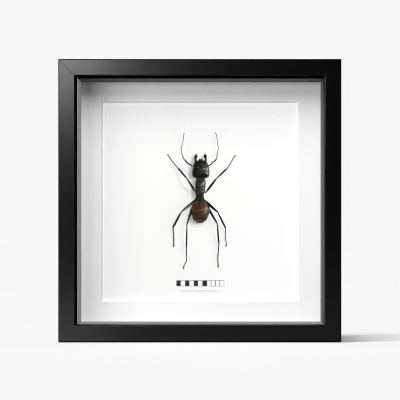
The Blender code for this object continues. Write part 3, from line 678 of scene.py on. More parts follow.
def eye_facets():
    """A compound eye: dark and shining, with hundreds of small domes."""
    finish = Finish("ant_eye")
    place = finish.place()
    domes = finish.cells(place, 1 / FACET_PITCH)
    haze = finish.speckle(place, 2.0)
    return finish.done(finish.gloss(
        Base_Color=finish.blend(haze, tone(0.010, 0.009, 0.008), tone(0.030, 0.026, 0.022)),
        Roughness=0.12 + 0.1 * haze, IOR=1.6,
        Normal=finish.relief(1 - domes, 0.012)))


# Mesh helpers


class Shell:
    """The mesh of one piece as it is put together; each of its points knows how pale it is."""

    def __init__(self):
        self.bm = bmesh.new()
        self.pale = self.bm.verts.layers.float.new(PALE)
        self.material_index = 0

    def point(self, place, pale=0.0):
        vert = self.bm.verts.new(place)
        vert[self.pale] = pale
        return vert

    def skin(self, rows):
        """Lays faces from each row of points to the next. A row of one point closes an end."""
        for row, following in zip(rows, rows[1:]):
            for index in range(max(len(row), len(following))):
                corners = [row[index % len(row)], row[(index + 1) % len(row)],
                           following[(index + 1) % len(following)], following[index % len(following)]]
                face = self.bm.faces.new(dict.fromkeys(corners))
                face.material_index = self.material_index

    def piece(self, name, materials, sharp_angle=50.0):
        bmesh.ops.recalc_face_normals(self.bm, faces=self.bm.faces)
        return new_piece(name, mesh_from(self.bm, name), materials, sharp_angle)

    def ant_piece(self, name, *materials, slot="black_chitin"):
        """The finished shell, in the place of the ant's solid of the same name."""
        stand_for(self.piece(name, materials), "ant_" + name)


def mesh_from(bm, name):
    mesh = bpy.data.meshes.new(name)
    bm.to_mesh(mesh)
    bm.free()
    return mesh


def placed(name, data):
    """A new object in the scene for a mesh, a curve, a lamp or a camera."""
    made = bpy.data.objects.new(name, data)
    bpy.context.scene.collection.objects.link(made)
    return made


def new_piece(name, mesh, materials, sharp_angle=35.0):
    mesh.shade_smooth()
    mesh.set_sharp_from_angle(angle=math.radians(sharp_angle))
    mesh.materials.clear()
    for material in materials:
        mesh.materials.append(material)
    return placed(name, mesh)


def stand_for(piece, node):
    """The piece rides on the part's one body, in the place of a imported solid."""
    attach(piece, "root")
    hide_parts(node)


def evaluated_mesh(piece):
    """A mesh of the piece as its modifiers or its curve's settings make it."""
    bpy.context.view_layer.update()
    graph = bpy.context.evaluated_depsgraph_get()
    return bpy.data.meshes.new_from_object(piece.evaluated_get(graph))


def settled(piece):
    """Applies the piece's modifiers."""
    mesh = evaluated_mesh(piece)
    piece.modifiers.clear()
    piece.data = mesh


def hard_piece(name, mesh, materials):
    """A piece with flat faces, whose shading stays flat up to its rounded edges."""
    piece = new_piece(name, mesh, materials, 50.0)
    flat = piece.modifiers.new("flat", 'WEIGHTED_NORMAL')
    flat.weight = 100
    flat.keep_sharp = True
    settled(piece)
    return piece


def bevelled(piece, width, cutters):
    """Cuts the piece, rounds its edges over, and removes what cut it."""
    for cutter in cutters:
        cut = piece.modifiers.new("cut", 'BOOLEAN')
        cut.operation = 'DIFFERENCE'
        cut.object = cutter
    bevel = piece.modifiers.new("round", 'BEVEL')
    bevel.width = width * MM
    bevel.segments = 3
    bevel.limit_method = 'ANGLE'
    bevel.angle_limit = math.radians(32)
    settled(piece)
    for cutter in cutters:
        bpy.data.objects.remove(cutter, do_unlink=True)


def turned(side):
    """Turns the bottom side of the frame onto another of its four sides."""
    middle = Matrix.Translation(frame_point(0.0, 0.0, FRAME_DEPTH / 2))
    return middle @ Matrix.Rotation(math.radians(90 * SIDES[side]), 4, 'Y')


def arc(centre, radius, start, end, steps):
    """Points of a rounded arris, from one angle in degrees to another."""
    points = []
    for step in range(steps + 1):
        angle = math.radians(start + (end - start) * step / steps)
        points.append((centre[0] + radius * math.cos(angle), centre[1] + radius * math.sin(angle)))
    return points


def circle(count):
    """The directions to the points of a circle, each as its shares of the radius on two axes."""
    angles = [2 * math.pi * step / count for step in range(count)]
    return [(math.cos(angle), math.sin(angle)) for angle in angles]


# The rails


def rail_profile():
    """The rail's section in inward and depth measures, with finely rounded arrises."""
    profile = arc((FACE_ARRIS, FACE_ARRIS), FACE_ARRIS, 180, 270, 10)
    profile += arc((FACE_WIDTH - FACE_ARRIS, FACE_ARRIS), FACE_ARRIS, 270, 360, 10)
    profile += [(FACE_WIDTH, LIP_DEPTH), (WALL, LIP_DEPTH), (WALL, FRAME_DEPTH)]
    profile += arc((BACK_ARRIS, FRAME_DEPTH - BACK_ARRIS), BACK_ARRIS, 90, 180, 8)
    return profile


def mitred_rail():
    """The bottom rail between its two mitres, about the middle of the frame."""
    bm = bmesh.new()
    corners = [bm.verts.new((0.0, depth - FRAME_DEPTH / 2, inward - FRAME_SIDE / 2))
               for inward, depth in rail_profile()]
    extruded = bmesh.ops.extrude_face_region(bm, geom=[bm.faces.new(corners)])
    far_corners = {item for item in extruded["geom"] if isinstance(item, bmesh.types.BMVert)}
    for vert in bm.verts:
        reach = -vert.co.z - MITRE_GAP / math.sqrt(2)
        vert.co.x = reach if vert in far_corners else -reach
    bmesh.ops.scale(bm, vec=(MM, MM, MM), verts=bm.verts)
    bmesh.ops.recalc_face_normals(bm, faces=bm.faces)
    return mesh_from(bm, "rail")


def slot_block(offset):
    """What one tab's slot leaves open in the wall of the bottom rail."""
    bm = bmesh.new()
    depth = TAB_FRONT + TAB_THICKNESS / 2 - FRAME_DEPTH / 2
    size = Vector((TAB_WIDTH + 2 * GAP, TAB_THICKNESS + 2 * GAP, 2 * (TAB_BITE + GAP))) * MM
    centre = Vector((offset, depth, WALL - FRAME_SIDE / 2)) * MM
    bmesh.ops.create_cube(
        bm, size=1.0, matrix=Matrix.Translation(centre) @ Matrix.Diagonal((*size, 1.0)))
    return placed("slot", mesh_from(bm, "slot"))


# How the grain is drawn out along a level rail and along an upright one
LEVEL_GRAIN = (0.05, 1.0, 1.0)
UPRIGHT_GRAIN = (1.0, 1.0, 0.05)
# Each rail's grain, and how much the wall inside its lip shines
# The bottom and right walls shine and the left and top are dull: painted light, lit and shaded copies of one
# paint
RAIL_PAINTS = {"bottom": (LEVEL_GRAIN, 0.3), "left": (UPRIGHT_GRAIN, 0.0),
               "top": (LEVEL_GRAIN, 0.0), "right": (UPRIGHT_GRAIN, 0.3)}


def make_rails():
    rail = new_piece("rail", mitred_rail(), [])
    bevelled(rail, RAIL_ROUNDING, [slot_block(offset) for offset in (-TAB_OFFSET, TAB_OFFSET)])
    for side, (stretch, lit_or_shaded_gloss) in RAIL_PAINTS.items():
        mesh = rail.data.copy()
        mesh.transform(turned(side))
        painted = hard_piece("painted_rail_" + side, mesh, [black_paint(side, stretch, lit_or_shaded_gloss)])
        stand_for(painted, "rail_" + side)
    bpy.data.objects.remove(rail, do_unlink=True)


# The fixings on the back

# Turns a flat outline upright, so that it faces the front or the back
UPRIGHT = Matrix.Rotation(math.radians(90), 4, 'X')
# How near two points of an outline are, in metres, to become one
WELD = 0.000002
TAB_ROUNDING = 0.1
HANGER_ROUNDING = 0.12


def flat_outline(name, points, thickness, rounding):
    """A flat closed outline given a thickness about its own plane, with rounded edges."""
    curve = bpy.data.curves.new(name, 'CURVE')
    curve.dimensions = '2D'
    curve.fill_mode = 'BOTH'
    curve.extrude = (thickness / 2 - rounding) * MM
    curve.bevel_depth = rounding * MM
    curve.offset = -rounding * MM
    curve.bevel_resolution = 2
    spline = curve.splines.new('POLY')
    spline.points.add(len(points) - 1)
    for point, (across, along) in zip(spline.points, points):
        point.co = (across * MM, along * MM, 0.0, 1.0)
    spline.use_cyclic_u = True
    return curve


def mesh_of_curve(curve, matrix):
    """The closed mesh of a curve, put in its place."""
    carrier = placed(curve.name, curve)
    mesh = evaluated_mesh(carrier)
    bm = bmesh.new()
    bm.from_mesh(mesh)
    bmesh.ops.remove_doubles(bm, verts=bm.verts, dist=WELD)
    bmesh.ops.transform(bm, matrix=matrix, verts=bm.verts)
    bmesh.ops.recalc_face_normals(bm, faces=bm.faces)
    bm.to_mesh(mesh)
    bm.free()
    bpy.data.objects.remove(carrier)
    return mesh


def tab_outline():
    """A steel point: a tapered root in the rail's slot and a rounded tongue over the panel."""
    half = TAB_WIDTH / 2
    root_half = TAB_ROOT_WIDTH / 2
    root = WALL - TAB_BITE
    tongue = arc((0.0, root + TAB_LENGTH - half), half, 0, 180, 24)
    return [(-half, WALL), (-root_half, root), (root_half, root), (half, WALL)] + tongue


def make_tabs(steel):
    depth = TAB_FRONT + TAB_THICKNESS / 2
    lift = Matrix.Translation(Vector((0.0, depth - FRAME_DEPTH / 2, -FRAME_SIDE / 2)) * MM)
    ends = {"top": ("right", "left"), "bottom": ("left", "right"),
            "left": ("upper", "lower"), "right": ("lower", "upper")}
    for side, names in ends.items():
        for offset, end in zip((-TAB_OFFSET, TAB_OFFSET), names):
            name = side + "_" + end
            shift = Matrix.Translation(Vector((offset, 0.0, 0.0)) * MM)
            outline = flat_outline("steel_tab_" + name, tab_outline(), TAB_THICKNESS, TAB_ROUNDING)
            mesh = mesh_of_curve(outline, turned(side) @ shift @ lift @ UPRIGHT)
            stand_for(hard_piece("steel_tab_" + name, mesh, [steel]), "tab_" + name)


def hanger_strip():
    """The hanger's strip as seen from above: two flat ears and a raised bridge."""
    half = HANGER_LENGTH / 2
    foot = HANGER_BRIDGE / 2 + HANGER_RAMP
    crown = HANGER_BRIDGE / 2
    front = [(-half, 0.0), (-foot, 0.0), (-crown, HANGER_RISE),
             (crown, HANGER_RISE), (foot, 0.0), (half, 0.0)]
    back = [(across, rise + HANGER_THICKNESS) for across, rise in reversed(front)]
    return front + back


def tooth_block():
    """What the row of notches along the lower edge of the hanger's bridge leaves open."""
    teeth = int((HANGER_BRIDGE - 2 * TOOTH_PITCH) / TOOTH_PITCH)
    start = -teeth * TOOTH_PITCH / 2
    edge = -HANGER_HEIGHT / 2
    outline = [(start, edge - 1.0)]
    for tooth in range(teeth):
        left = start + tooth * TOOTH_PITCH
        outline.append((left, edge - 0.05))
        outline.append((left + TOOTH_PITCH / 2, edge + TOOTH_DEPTH))
    outline += [(-start, edge - 0.05), (-start, edge - 1.0)]
    middle = frame_point(0.0, HANGER_UP, TAB_FRONT + HANGER_RISE)
    curve = flat_outline("teeth", outline, 4.0, 0.0)
    mesh = mesh_of_curve(curve, Matrix.Translation(middle) @ UPRIGHT)
    return new_piece("teeth", mesh, [])


def make_hanger(steel):
    lift = Matrix.Translation(frame_point(0.0, HANGER_UP, TAB_FRONT))
    strip = mesh_of_curve(flat_outline("hanger_strip", hanger_strip(), HANGER_HEIGHT, 0.0), lift)
    blank = new_piece("hanger_blank", strip, [])
    bevelled(blank, HANGER_ROUNDING, [tooth_block()])
    stand_for(hard_piece("sawtooth_hanger", blank.data, [steel]), "hanger")
    bpy.data.objects.remove(blank, do_unlink=True)


def make_nails(steel):
    """Two round-headed nails through the hanger's ears."""
    head_front = TAB_FRONT + HANGER_THICKNESS + GAP
    dome = [(NAIL_HEAD_RADIUS * math.cos(angle),
             NAIL_HEAD_THICKNESS * (NAIL_RIM_SHARE + (1 - NAIL_RIM_SHARE) * math.sin(angle)))
            for angle in (math.radians(10 * step) for step in range(9))]
    section = list(reversed(dome)) + [
        (NAIL_HEAD_RADIUS, NAIL_ARRIS), (NAIL_HEAD_RADIUS - NAIL_ARRIS, 0.0),
        (NAIL_SHANK_RADIUS, 0.0), (NAIL_SHANK_RADIUS, NAIL_POINT - NAIL_SHANK_LENGTH)]
    for right, side in ((-NAIL_OFFSET, "left"), (NAIL_OFFSET, "right")):
        shell = Shell()
        rows = [[shell.point(frame_point(right, HANGER_UP, head_front + NAIL_HEAD_THICKNESS))]]
        for radius, rise in section:
            depth = head_front + rise
            rows.append([
                shell.point(frame_point(right + radius * across, HANGER_UP + radius * above, depth))
                for across, above in circle(NAIL_SIDES)])
        rows.append([shell.point(frame_point(right, HANGER_UP, head_front - NAIL_SHANK_LENGTH))])
        shell.skin(rows)
        nail = shell.piece("domed_nail_" + side, [steel], 40.0)
        stand_for(nail, "hanger_nail_" + side)


# The ant's body


def blend_curve(before, start, end, after, share):
    """A smooth value between start and end, which knows its neighbours on both sides."""
    slope_in = (end - before) / 2
    slope_out = (after - start) / 2
    square = share * share
    cube = square * share
    return (start * (2 * cube - 3 * square + 1) + slope_in * (cube - 2 * square + share)
            + end * (3 * square - 2 * cube) + slope_out * (cube - square))


def ring_at(rings, up):
    """The body's section at any place along it, rounded off towards its two ends."""
    last = len(rings) - 2
    up = min(max(up, rings[-1].up), rings[0].up)
    for index, (here, there) in enumerate(zip(rings, rings[1:])):
        if there.up <= up <= here.up:
            share = (here.up - up) / (here.up - there.up)
            if index in (0, last):
                tip, rim = (here, there) if index == 0 else (there, here)
                from_tip = share if index == 0 else 1 - share
                swell_out = math.sqrt(from_tip * (2 - from_tip))
                values = [t + (r - t) * swell_out for t, r in zip(tip[1:4], rim[1:4])]
                return Ring(up, *values, rim.side)
            before = rings[max(index - 1, 1)]
            after = rings[min(index + 2, last)]
            values = [blend_curve(b, h, t, a, share)
                      for b, h, t, a in zip(before[1:], here[1:], there[1:], after[1:])]
            return Ring(up, *values)
    raise ValueError("no section at %s" % up)


def stations(rings, pitch):
    """Places along a body, an even step apart over its skin from one tip to the other."""
    samples = 1500
    places = []
    walked = [0.0]
    for step in range(samples + 1):
        along = (1 - math.cos(math.pi * step / samples)) / 2
        up = rings[0].up + (rings[-1].up - rings[0].up) * along
        ring = ring_at(rings, up)
        places.append((up, (ring.half_width + ring.half_height) / 2))
    for here, there in zip(places, places[1:]):
        walked.append(walked[-1] + math.dist(here, there))
    count = max(8, round(walked[-1] / pitch))
    chosen = []
    sample = 0
    for step in range(1, count):
        while walked[sample] < walked[-1] * step / count:
            sample += 1
        chosen.append(places[sample][0])
    return chosen


def body(shell, rings, sides, ups, sculpt, squareness=0.9):
    """A closed body through its sections, whose points a sculpting rule then moves."""
    def sculpted(*place):
        right, up, height, pale = sculpt(*place)
        return shell.point(ant_point(right, up, height), pale)

    section = [(math.copysign(abs(wide) ** squareness, wide), math.copysign(abs(tall) ** squareness, tall))
               for wide, tall in circle(sides)]
    rows = [[sculpted(rings[0].side, rings[0].up, rings[0].low, 0.0)]]
    for up in ups:
        ring = ring_at(rings, up)
        rows.append([sculpted(ring.side + ring.half_width * across, up,
                              ring.middle + ring.half_height * above, above)
                     for across, above in section])
    rows.append([sculpted(rings[-1].side, rings[-1].up, rings[-1].low, 0.0)])
    shell.skin(rows)


def on_skin(rings, up, across, above, lift=0.0):
    """A place on a body's skin in a direction from its middle, lifted off by a small amount."""
    ring = ring_at(rings, up)
    return (ring.side + (ring.half_width + lift) * across, up,
            ring.middle + (ring.half_height + lift) * above)


def swell(distance, width):
    """One at no distance, and fading away over a width."""
    return math.exp(-(distance / width) ** 2)


def fade(value, start, end):
    """Zero up to start and one past end, with a soft rise between them."""
    share = max(0.0, min(1.0, (value - start) / (end - start)))
    return share * share * (3 - 2 * share)


def within(value, start, full, fading, gone):
    """One inside a stretch and zero outside it, with a soft rise and a soft fall."""
    return fade(value, start, full) * (1 - fade(value, fading, gone))


def pitted(right, up, height, size, depth):
    """A fine unevenness of the shell, as a height."""
    return depth * noise.noise(Vector((right, up, height)) / size)


# In the sculpting rules, the number before a swell is how high it stands, and the last number
# in it is how wide it is. A stretch is where a form begins, is full, begins to fade and is gone
CLYPEUS_BACK = 17.0
CLYPEUS_HALF_WIDTH = 1.45
CLYPEUS_BOW = 0.35
LOBE_OUT = 0.62
SOCKET_OUT = 0.87
SOCKET_UP = 15.3
SOCKET_RIM = 0.42
RIDGE_UP = 14.0
RIDGE_STRETCH = (13.7, 14.2, 16.3, 16.7)
FURROW_STRETCH = (13.2, 13.6, 16.5, 16.9)
EYE_ROWS = 14
EYE_SIDES = 28


def sculpt_head(right, up, height, above):
    """The face: clypeus with its keel, frontal ridges, furrow, antenna sockets and hollow nape."""
    side = right - HEAD_SIDE
    out = abs(side)
    back = max(0.0, min(1.0, (HOLLOW_START - up) / (HOLLOW_START - HOLLOW_FULL)))
    near_axis = max(0.0, 1.0 - (side / NECK_HALF_WIDTH) ** 2)
    lobe = 0.16 * fade(up, 19.0, 19.5) * swell(out - LOBE_OUT, 0.3)
    moved_up = up + NECK_HOLLOW * back * near_axis + lobe
    raised = 0.0
    if above > 0:
        on_clypeus = fade(up, CLYPEUS_BACK - 0.2, CLYPEUS_BACK)
        border = CLYPEUS_BACK + CLYPEUS_BOW * out
        beyond = fade(out, CLYPEUS_HALF_WIDTH, CLYPEUS_HALF_WIDTH + 0.3)
        raised -= 0.09 * swell(up - border, 0.1) * (1 - beyond)
        raised -= 0.07 * swell(out - CLYPEUS_HALF_WIDTH - 0.1, 0.1) * on_clypeus
        raised += 0.12 * swell(side, 0.22) * on_clypeus
        ridge_line = 0.62 + 0.42 * (up - RIDGE_UP) / 2.4 - 0.2 * math.sin((up - RIDGE_UP) * 2.2)
        raised += 0.14 * swell(out - ridge_line, 0.12) * within(up, *RIDGE_STRETCH)
        raised -= 0.05 * swell(side, 0.07) * within(up, *FURROW_STRETCH)
        from_socket = math.hypot(out - SOCKET_OUT, up - SOCKET_UP)
        raised += 0.1 * swell(from_socket - SOCKET_RIM, 0.12) - 0.22 * swell(from_socket, 0.26)
        raised *= above
    raised += pitted(right, up, height, 0.6, 0.05)
    return right, moved_up, height + raised, 0.0


def add_eye(shell, side):
    """A flattened ball that looks up and outwards."""
    right, up, height = EYE_PLACE
    lean = math.radians(side * EYE_LEAN)
    rows = []
    for step in range(EYE_ROWS + 1):
        polar = math.pi * step / EYE_ROWS
        row = []
        for first, second in circle(EYE_SIDES if 0 < step < EYE_ROWS else 1):
            across = EYE_RADII[0] * math.sin(polar) * first
            along = EYE_RADII[1] * math.sin(polar) * second
            rise = EYE_RADII[2] * math.cos(polar)
            out = across * math.cos(lean) + rise * math.sin(lean)
            lift = rise * math.cos(lean) - across * math.sin(lean)
            row.append(shell.point(ant_point(HEAD_SIDE + side * right + out, up + along, height + lift)))
        rows.append(row)
    shell.skin(rows)


def add_hair(shell, root, lean, length, radius=0.022, pale=0.55):
    """One stiff hair: a thin three-sided cone that bends a little towards its tip."""
    root = Vector(root)
    lean = Vector(lean).normalized()
    across = lean.orthogonal().normalized()
    beside = lean.cross(across)
    rows = []
    for share, width in ((-0.1, 1.0), (0.35, 0.85), (0.7, 0.5)):
        centre = root + lean * length * share + across * length * 0.08 * max(share, 0.0) ** 2
        rows.append([shell.point(ant_point(*(centre + radius * width * (
            across * first + beside * second))), pale) for first, second in circle(3)])
    tip = root + lean * length + across * length * 0.12
    shell.skin([[shell.point(ant_point(*root), pale)]] + rows + [[shell.point(ant_point(*tip), pale)]])


# How many hairs stand on each piece of the body, and on each band of the gaster
HAIRS = {"head": 46, "mandible": 12, "thorax": 34, "waist": 9, "gaster": 26}


def make_head(black, eye):
    shell = Shell()
    body(shell, HEAD_RINGS, 112, stations(HEAD_RINGS, 0.085), sculpt_head, squareness=0.85)
    dice = random.Random(11)
    for _ in range(HAIRS["head"]):
        side = dice.choice((-1, 1)) * dice.uniform(0.2, 1.0)
        up = dice.uniform(10.9, 19.3)
        share = side * 0.75
        root = on_skin(HEAD_RINGS, up, share, math.sqrt(1 - share * share))
        add_hair(shell, root, (dice.uniform(-0.4, 0.4) + share, dice.uniform(-0.2, 0.5), 1.0),
                 dice.uniform(0.25, 0.5))
    shell.material_index = 1
    for side in (-1, 1):
        add_eye(shell, side)
    shell.ant_piece("head", black, eye)


def edge_at(points, up, smooth):
    """How far out a mandible's edge is at a place along it."""
    last = len(points) - 1
    for index in range(last):
        (here, low), (there, high) = points[index], points[index + 1]
        if low <= up <= high:
            share = (up - low) / (high - low)
            if not smooth:
                return here + (there - here) * share
            return blend_curve(points[max(index - 1, 0)][0], here, there,
                               points[min(index + 2, last)][0], share)
    raise ValueError("no edge at %s" % up)


MANDIBLE_ROWS = 96
MANDIBLE_SIDES = 28


def make_mandible(side, name, black):
    """A toothed jaw, thick at its root and bent a little towards the board at its tip."""
    shell = Shell()
    swing = MANDIBLE_SWINGS[name]
    start, end = MANDIBLE_OUTER[0][1], MANDIBLE_OUTER[-1][1]
    rows = []
    for step in range(MANDIBLE_ROWS + 1):
        share = step / MANDIBLE_ROWS
        up = start + (end - start) * share
        outer = edge_at(MANDIBLE_OUTER, up, True)
        inner = edge_at(MANDIBLE_INNER, up, False)
        middle = (outer + inner) / 2 + swing
        half_width = (outer - inner) / 2
        thickness = MANDIBLE_THICKNESS / 2 * (1.25 - 0.5 * share) * math.sqrt(max(0.0, 1 - share ** 6))
        height = MANDIBLE_HEIGHT + 0.25 - 0.45 * share ** 2
        if step in (0, MANDIBLE_ROWS):
            rows.append([shell.point(ant_point(HEAD_SIDE + side * middle, up, height))])
            continue
        row = []
        for across, above in circle(MANDIBLE_SIDES):
            worn = 0.35 * fade(-across, 0.4, 1.0)
            rise = height + thickness * above * (1 - worn) + pitted(across, up * 2, above, 0.4, 0.012)
            place = ant_point(HEAD_SIDE + side * (middle + half_width * across), up, rise)
            row.append(shell.point(place, 0.12 * fade(share, 0.75, 1.0)))
        rows.append(row)
    shell.skin(rows)
    dice = random.Random(5 + side)
    for _ in range(HAIRS["mandible"]):
        up = dice.uniform(19.0, 21.6)
        out = edge_at(MANDIBLE_OUTER, up, True) + swing - dice.uniform(0.1, 0.6)
        add_hair(shell, (HEAD_SIDE + side * out, up, MANDIBLE_HEIGHT + 0.5),
                 (-side * dice.uniform(0.0, 0.8), 0.8, 0.7), dice.uniform(0.2, 0.4))
    shell.ant_piece("mandible_" + name, black)


PRONOTUM_END = 7.55
MESONOTUM_END = 5.35
SPIRACLE_UP = 3.7
COLLAR_UP = 10.55
FLANK_SEAM_STRETCH = (3.0, 3.6, 9.0, 9.6)
RIB_STRETCH = (2.6, 3.2, 6.8, 7.4)


def sculpt_thorax(right, up, height, above):
    """Collar, shield, groove and sloping rear, with the seams between their plates."""
    side = right - 0.1
    arch = 0.12 * side * side
    raised = 0.0
    pinch = 0.0
    seam = swell(up - PRONOTUM_END + arch, 0.09)
    groove = swell(up - MESONOTUM_END + 0.5 * arch, 0.16)
    collar = swell(up - COLLAR_UP, 0.12)
    if above > -0.2:
        raised -= (0.1 * seam + 0.2 * groove + 0.08 * collar) * max(above, 0.15)
        raised += 0.1 * swell(up - 6.4, 0.7) * swell(side, 0.9) * above
        raised += 0.12 * swell(abs(side) - 0.75, 0.35) * swell(up - 4.0, 0.8) * max(above, 0.0)
    flank = 1 - abs(above)
    pinch -= 0.16 * groove * flank + 0.08 * seam * flank
    pinch -= 0.12 * swell(above + 0.25, 0.14) * within(up, *FLANK_SEAM_STRETCH)
    pinch += 0.05 * swell(math.hypot(up - SPIRACLE_UP, (above - 0.35) * 2.0), 0.2)
    raised += pitted(right, up, height, 0.5, 0.035)
    ribs = 0.012 * math.sin((up + 0.3 * above) * 26.0) * flank * within(up, *RIB_STRETCH)
    return right + math.copysign(pinch + ribs, side) * min(1.0, abs(side)), up, height + raised, 0.0


def make_thorax(black):
    shell = Shell()
    body(shell, THORAX_RINGS, 96, stations(THORAX_RINGS, 0.07), sculpt_thorax)
    dice = random.Random(23)
    for _ in range(HAIRS["thorax"]):
        up = dice.uniform(2.9, 10.2)
        share = dice.uniform(-0.75, 0.75)
        root = on_skin(THORAX_RINGS, up, share, math.sqrt(1 - share * share))
        add_hair(shell, root, (share, dice.uniform(-0.5, 0.2), 1.0), dice.uniform(0.3, 0.6))
    shell.ant_piece("thorax", black)


def sculpt_waist(right, up, height, above):
    """The waist's scale: thin at its crest, with a shallow notch in the middle."""
    crest = max(0.0, above) ** 4
    lean = -0.12 * max(0.0, above) * swell(up - 1.6, 0.5)
    notch = -0.12 * crest * swell(right, 0.35) * swell(up - 1.6, 0.4)
    return right, up + lean, height + notch + pitted(right, up, height, 0.4, 0.015), 0.0


def make_waist(black):
    shell = Shell()
    body(shell, WAIST_RINGS, 64, stations(WAIST_RINGS, 0.06), sculpt_waist, squareness=1.0)
    dice = random.Random(31)
    for _ in range(HAIRS["waist"]):
        share = dice.uniform(-0.8, 0.8)
        root = (1.1 * share, 1.6, 5.05 + 1.5 * math.sqrt(1 - share * share))
        add_hair(shell, root, (share, dice.uniform(-0.5, 0.5), 1.0), dice.uniform(0.3, 0.5))
    shell.ant_piece("waist", black)


def gaster_ups(rings, pitch):
    """Rows along the gaster, with close rows where one plate ends over the next."""
    ups = [up for up in stations(rings, pitch)
           if all(abs(up - seam + SEAM_LENGTH / 2) > SEAM_LENGTH for seam in GASTER_SEAMS)]
    for seam in GASTER_SEAMS:
        ups += [seam + offset for offset in SEAM_ROWS]
    return sorted(ups, reverse=True)


def sculpt_gaster(right, up, height, above):
    """Overlapping plates: each one swells a little towards the rear and ends in a thin pale lip."""
    edges = [GASTER_RINGS[0].up] + GASTER_SEAMS + [GASTER_RINGS[-1].up]
    grown = 0.0
    pale = 0.0
    for front, back in zip(edges, edges[1:]):
        if back < up <= front:
            share = (front - up) / (front - back)
            grown = SEAM_STEP * share ** 1.5
            if back in GASTER_SEAMS:
                pale = SEAM_PALENESS[back] * swell(up - back, 0.1) * (0.35 + 0.65 * above)
                grown += 0.03 * swell(up - back, 0.12)
    ring = ring_at(GASTER_RINGS, max(min(up, 0.8), -9.6))
    size = max(ring.half_width, 0.4)
    out = Vector(((right - ring.side) / size, (height - ring.middle) / size))
    if out.length > 1e-6:
        out.normalize()
    grown += pitted(right, up, height, 0.8, 0.02)
    side = right - ring.side
    slant = 0.26 * side * swell(up - GASTER_SEAMS[0], 1.5)
    bow = 0.04 * side * side * swell(up - GASTER_SEAMS[1], 1.0)
    # Painted light, partly: the lips are made paler towards the right, where the lamps fall, over their real
    # paleness
    pale *= 0.3 + 0.7 * fade(side, -1.4, 1.2)
    return right + out.x * grown, up + slant + bow, height + out.y * grown, max(0.0, pale)


def make_gaster(brown):
    shell = Shell()
    body(shell, GASTER_RINGS, 112, gaster_ups(GASTER_RINGS, 0.09), sculpt_gaster, squareness=1.0)
    dice = random.Random(47)
    for band in GASTER_SEAMS + [TIP_BAND]:
        for _ in range(HAIRS["gaster"]):
            up = band + dice.uniform(0.1, 0.9)
            angle = dice.uniform(0.15, math.pi - 0.15)
            across, above = math.cos(angle), math.sin(angle)
            root = on_skin(GASTER_RINGS, up, across, above, lift=0.05)
            add_hair(shell, root, (across, -0.9, above), dice.uniform(0.3, 0.65), pale=0.8)
    shell.ant_piece("gaster", brown, slot="brown_chitin")


# The ant's limbs


class Track:
    """A smooth line through points on the ant, read by how far along it a place is."""

    def __init__(self, points, steps=24):
        last = len(points) - 1
        self.places = []
        for index in range(last):
            before = points[max(index - 1, 0)]
            after = points[min(index + 2, last)]
            for step in range(steps):
                self.places.append(Vector([
                    blend_curve(*values, step / steps)
                    for values in zip(before, points[index], points[index + 1], after)]))
        self.places.append(Vector(points[-1]))
        self.walked = [0.0]
        for here, there in zip(self.places, self.places[1:]):
            self.walked.append(self.walked[-1] + (there - here).length)
        self.length = self.walked[-1]

    def at(self, distance):
        distance = max(0.0, min(self.length, distance))
        index = 0
        while index < len(self.places) - 2 and self.walked[index + 1] < distance:
            index += 1
        span = self.walked[index + 1] - self.walked[index]
        share = (distance - self.walked[index]) / span
        return self.places[index].lerp(self.places[index + 1], share)


def along_shape(shape, share):
    """A thickness read off a short list of (how far along, thickness)."""
    last = len(shape) - 1
    for index in range(last):
        (here, low), (there, high) = shape[index], shape[index + 1]
        if share <= there or index == last - 1:
            before = shape[max(index - 1, 0)][1]
            after = shape[min(index + 2, last)][1]
            return blend_curve(before, low, high, after, (share - here) / (there - here))


def add_limb(shell, track, start, end, shape, pale=0.0, sides=16, pitch=0.12):
    """A round limb along part of a track, closed by a rounded end on both sides."""
    span = end - start
    count = max(8, round(span / pitch))
    rows = []
    across = None
    for step in range(count + 1):
        share = (1 - math.cos(math.pi * step / count)) / 2
        distance = start + span * share
        centre = track.at(distance)
        ahead = (track.at(distance + 0.05) - track.at(distance - 0.05)).normalized()
        if across is None:
            across = ahead.orthogonal()
        across = (across - ahead * across.dot(ahead)).normalized()
        beside = ahead.cross(across)
        radius = along_shape(shape, share)
        from_end = min(share, 1 - share) * span / radius
        if from_end < 1:
            radius *= math.sqrt(max(0.0, 1 - (1 - from_end) ** 2))
        pale_here = pale(share) if callable(pale) else pale
        if step in (0, count):
            rows.append([shell.point(ant_point(*centre), pale_here)])
            continue
        rows.append([
            shell.point(ant_point(*(centre + radius * (across * first + beside * second))), pale_here)
            for first, second in circle(sides)])
    shell.skin(rows)


def whole(shell, track, shape, pale=0.0, **options):
    """A limb along the whole of a track."""
    add_limb(shell, track, 0.0, track.length, shape, pale, **options)


def straight(start, end, bow=0.0):
    """A track from one joint to the next, bowed away from the board by a small amount."""
    start, end = Vector(start), Vector(end)
    middle = (start + end) / 2 + Vector((0.0, 0.0, bow))
    return Track([tuple(start), tuple(middle), tuple(end)])


def add_hairs_along(shell, dice, track, shape, count, length):
    """Short bristles that lean towards the limb's end."""
    for _ in range(count):
        share = dice.uniform(0.08, 0.97)
        distance = share * track.length
        centre = track.at(distance)
        ahead = (track.at(distance + 0.05) - track.at(distance - 0.05)).normalized()
        across = ahead.orthogonal().normalized()
        angle = dice.uniform(0, 2 * math.pi)
        out = across * math.cos(angle) + ahead.cross(across) * math.sin(angle)
        root = centre + out * along_shape(shape, share) * 0.95
        add_hair(shell, root, out + ahead * 0.9, length * dice.uniform(0.7, 1.2), radius=0.016, pale=0.5)


def add_claws(shell, tip, ahead):
    """A pair of small hooked claws with a pad between them."""
    across = ahead.cross(Vector((0.0, 0.0, 1.0))).normalized()
    for side in (-1, 1):
        hook = [tip - ahead * 0.12, tip + ahead * 0.12 + across * side * 0.16,
                tip + ahead * 0.3 + across * side * 0.3, tip + ahead * 0.34 + across * side * 0.36
                - Vector((0.0, 0.0, 0.16))]
        whole(shell, Track(hook, 8), CLAW_SHAPE, 0.06, sides=8, pitch=0.06)
    whole(shell, straight(tip - ahead * 0.1, tip + ahead * 0.16), PAD_SHAPE, 0.25, sides=10, pitch=0.05)


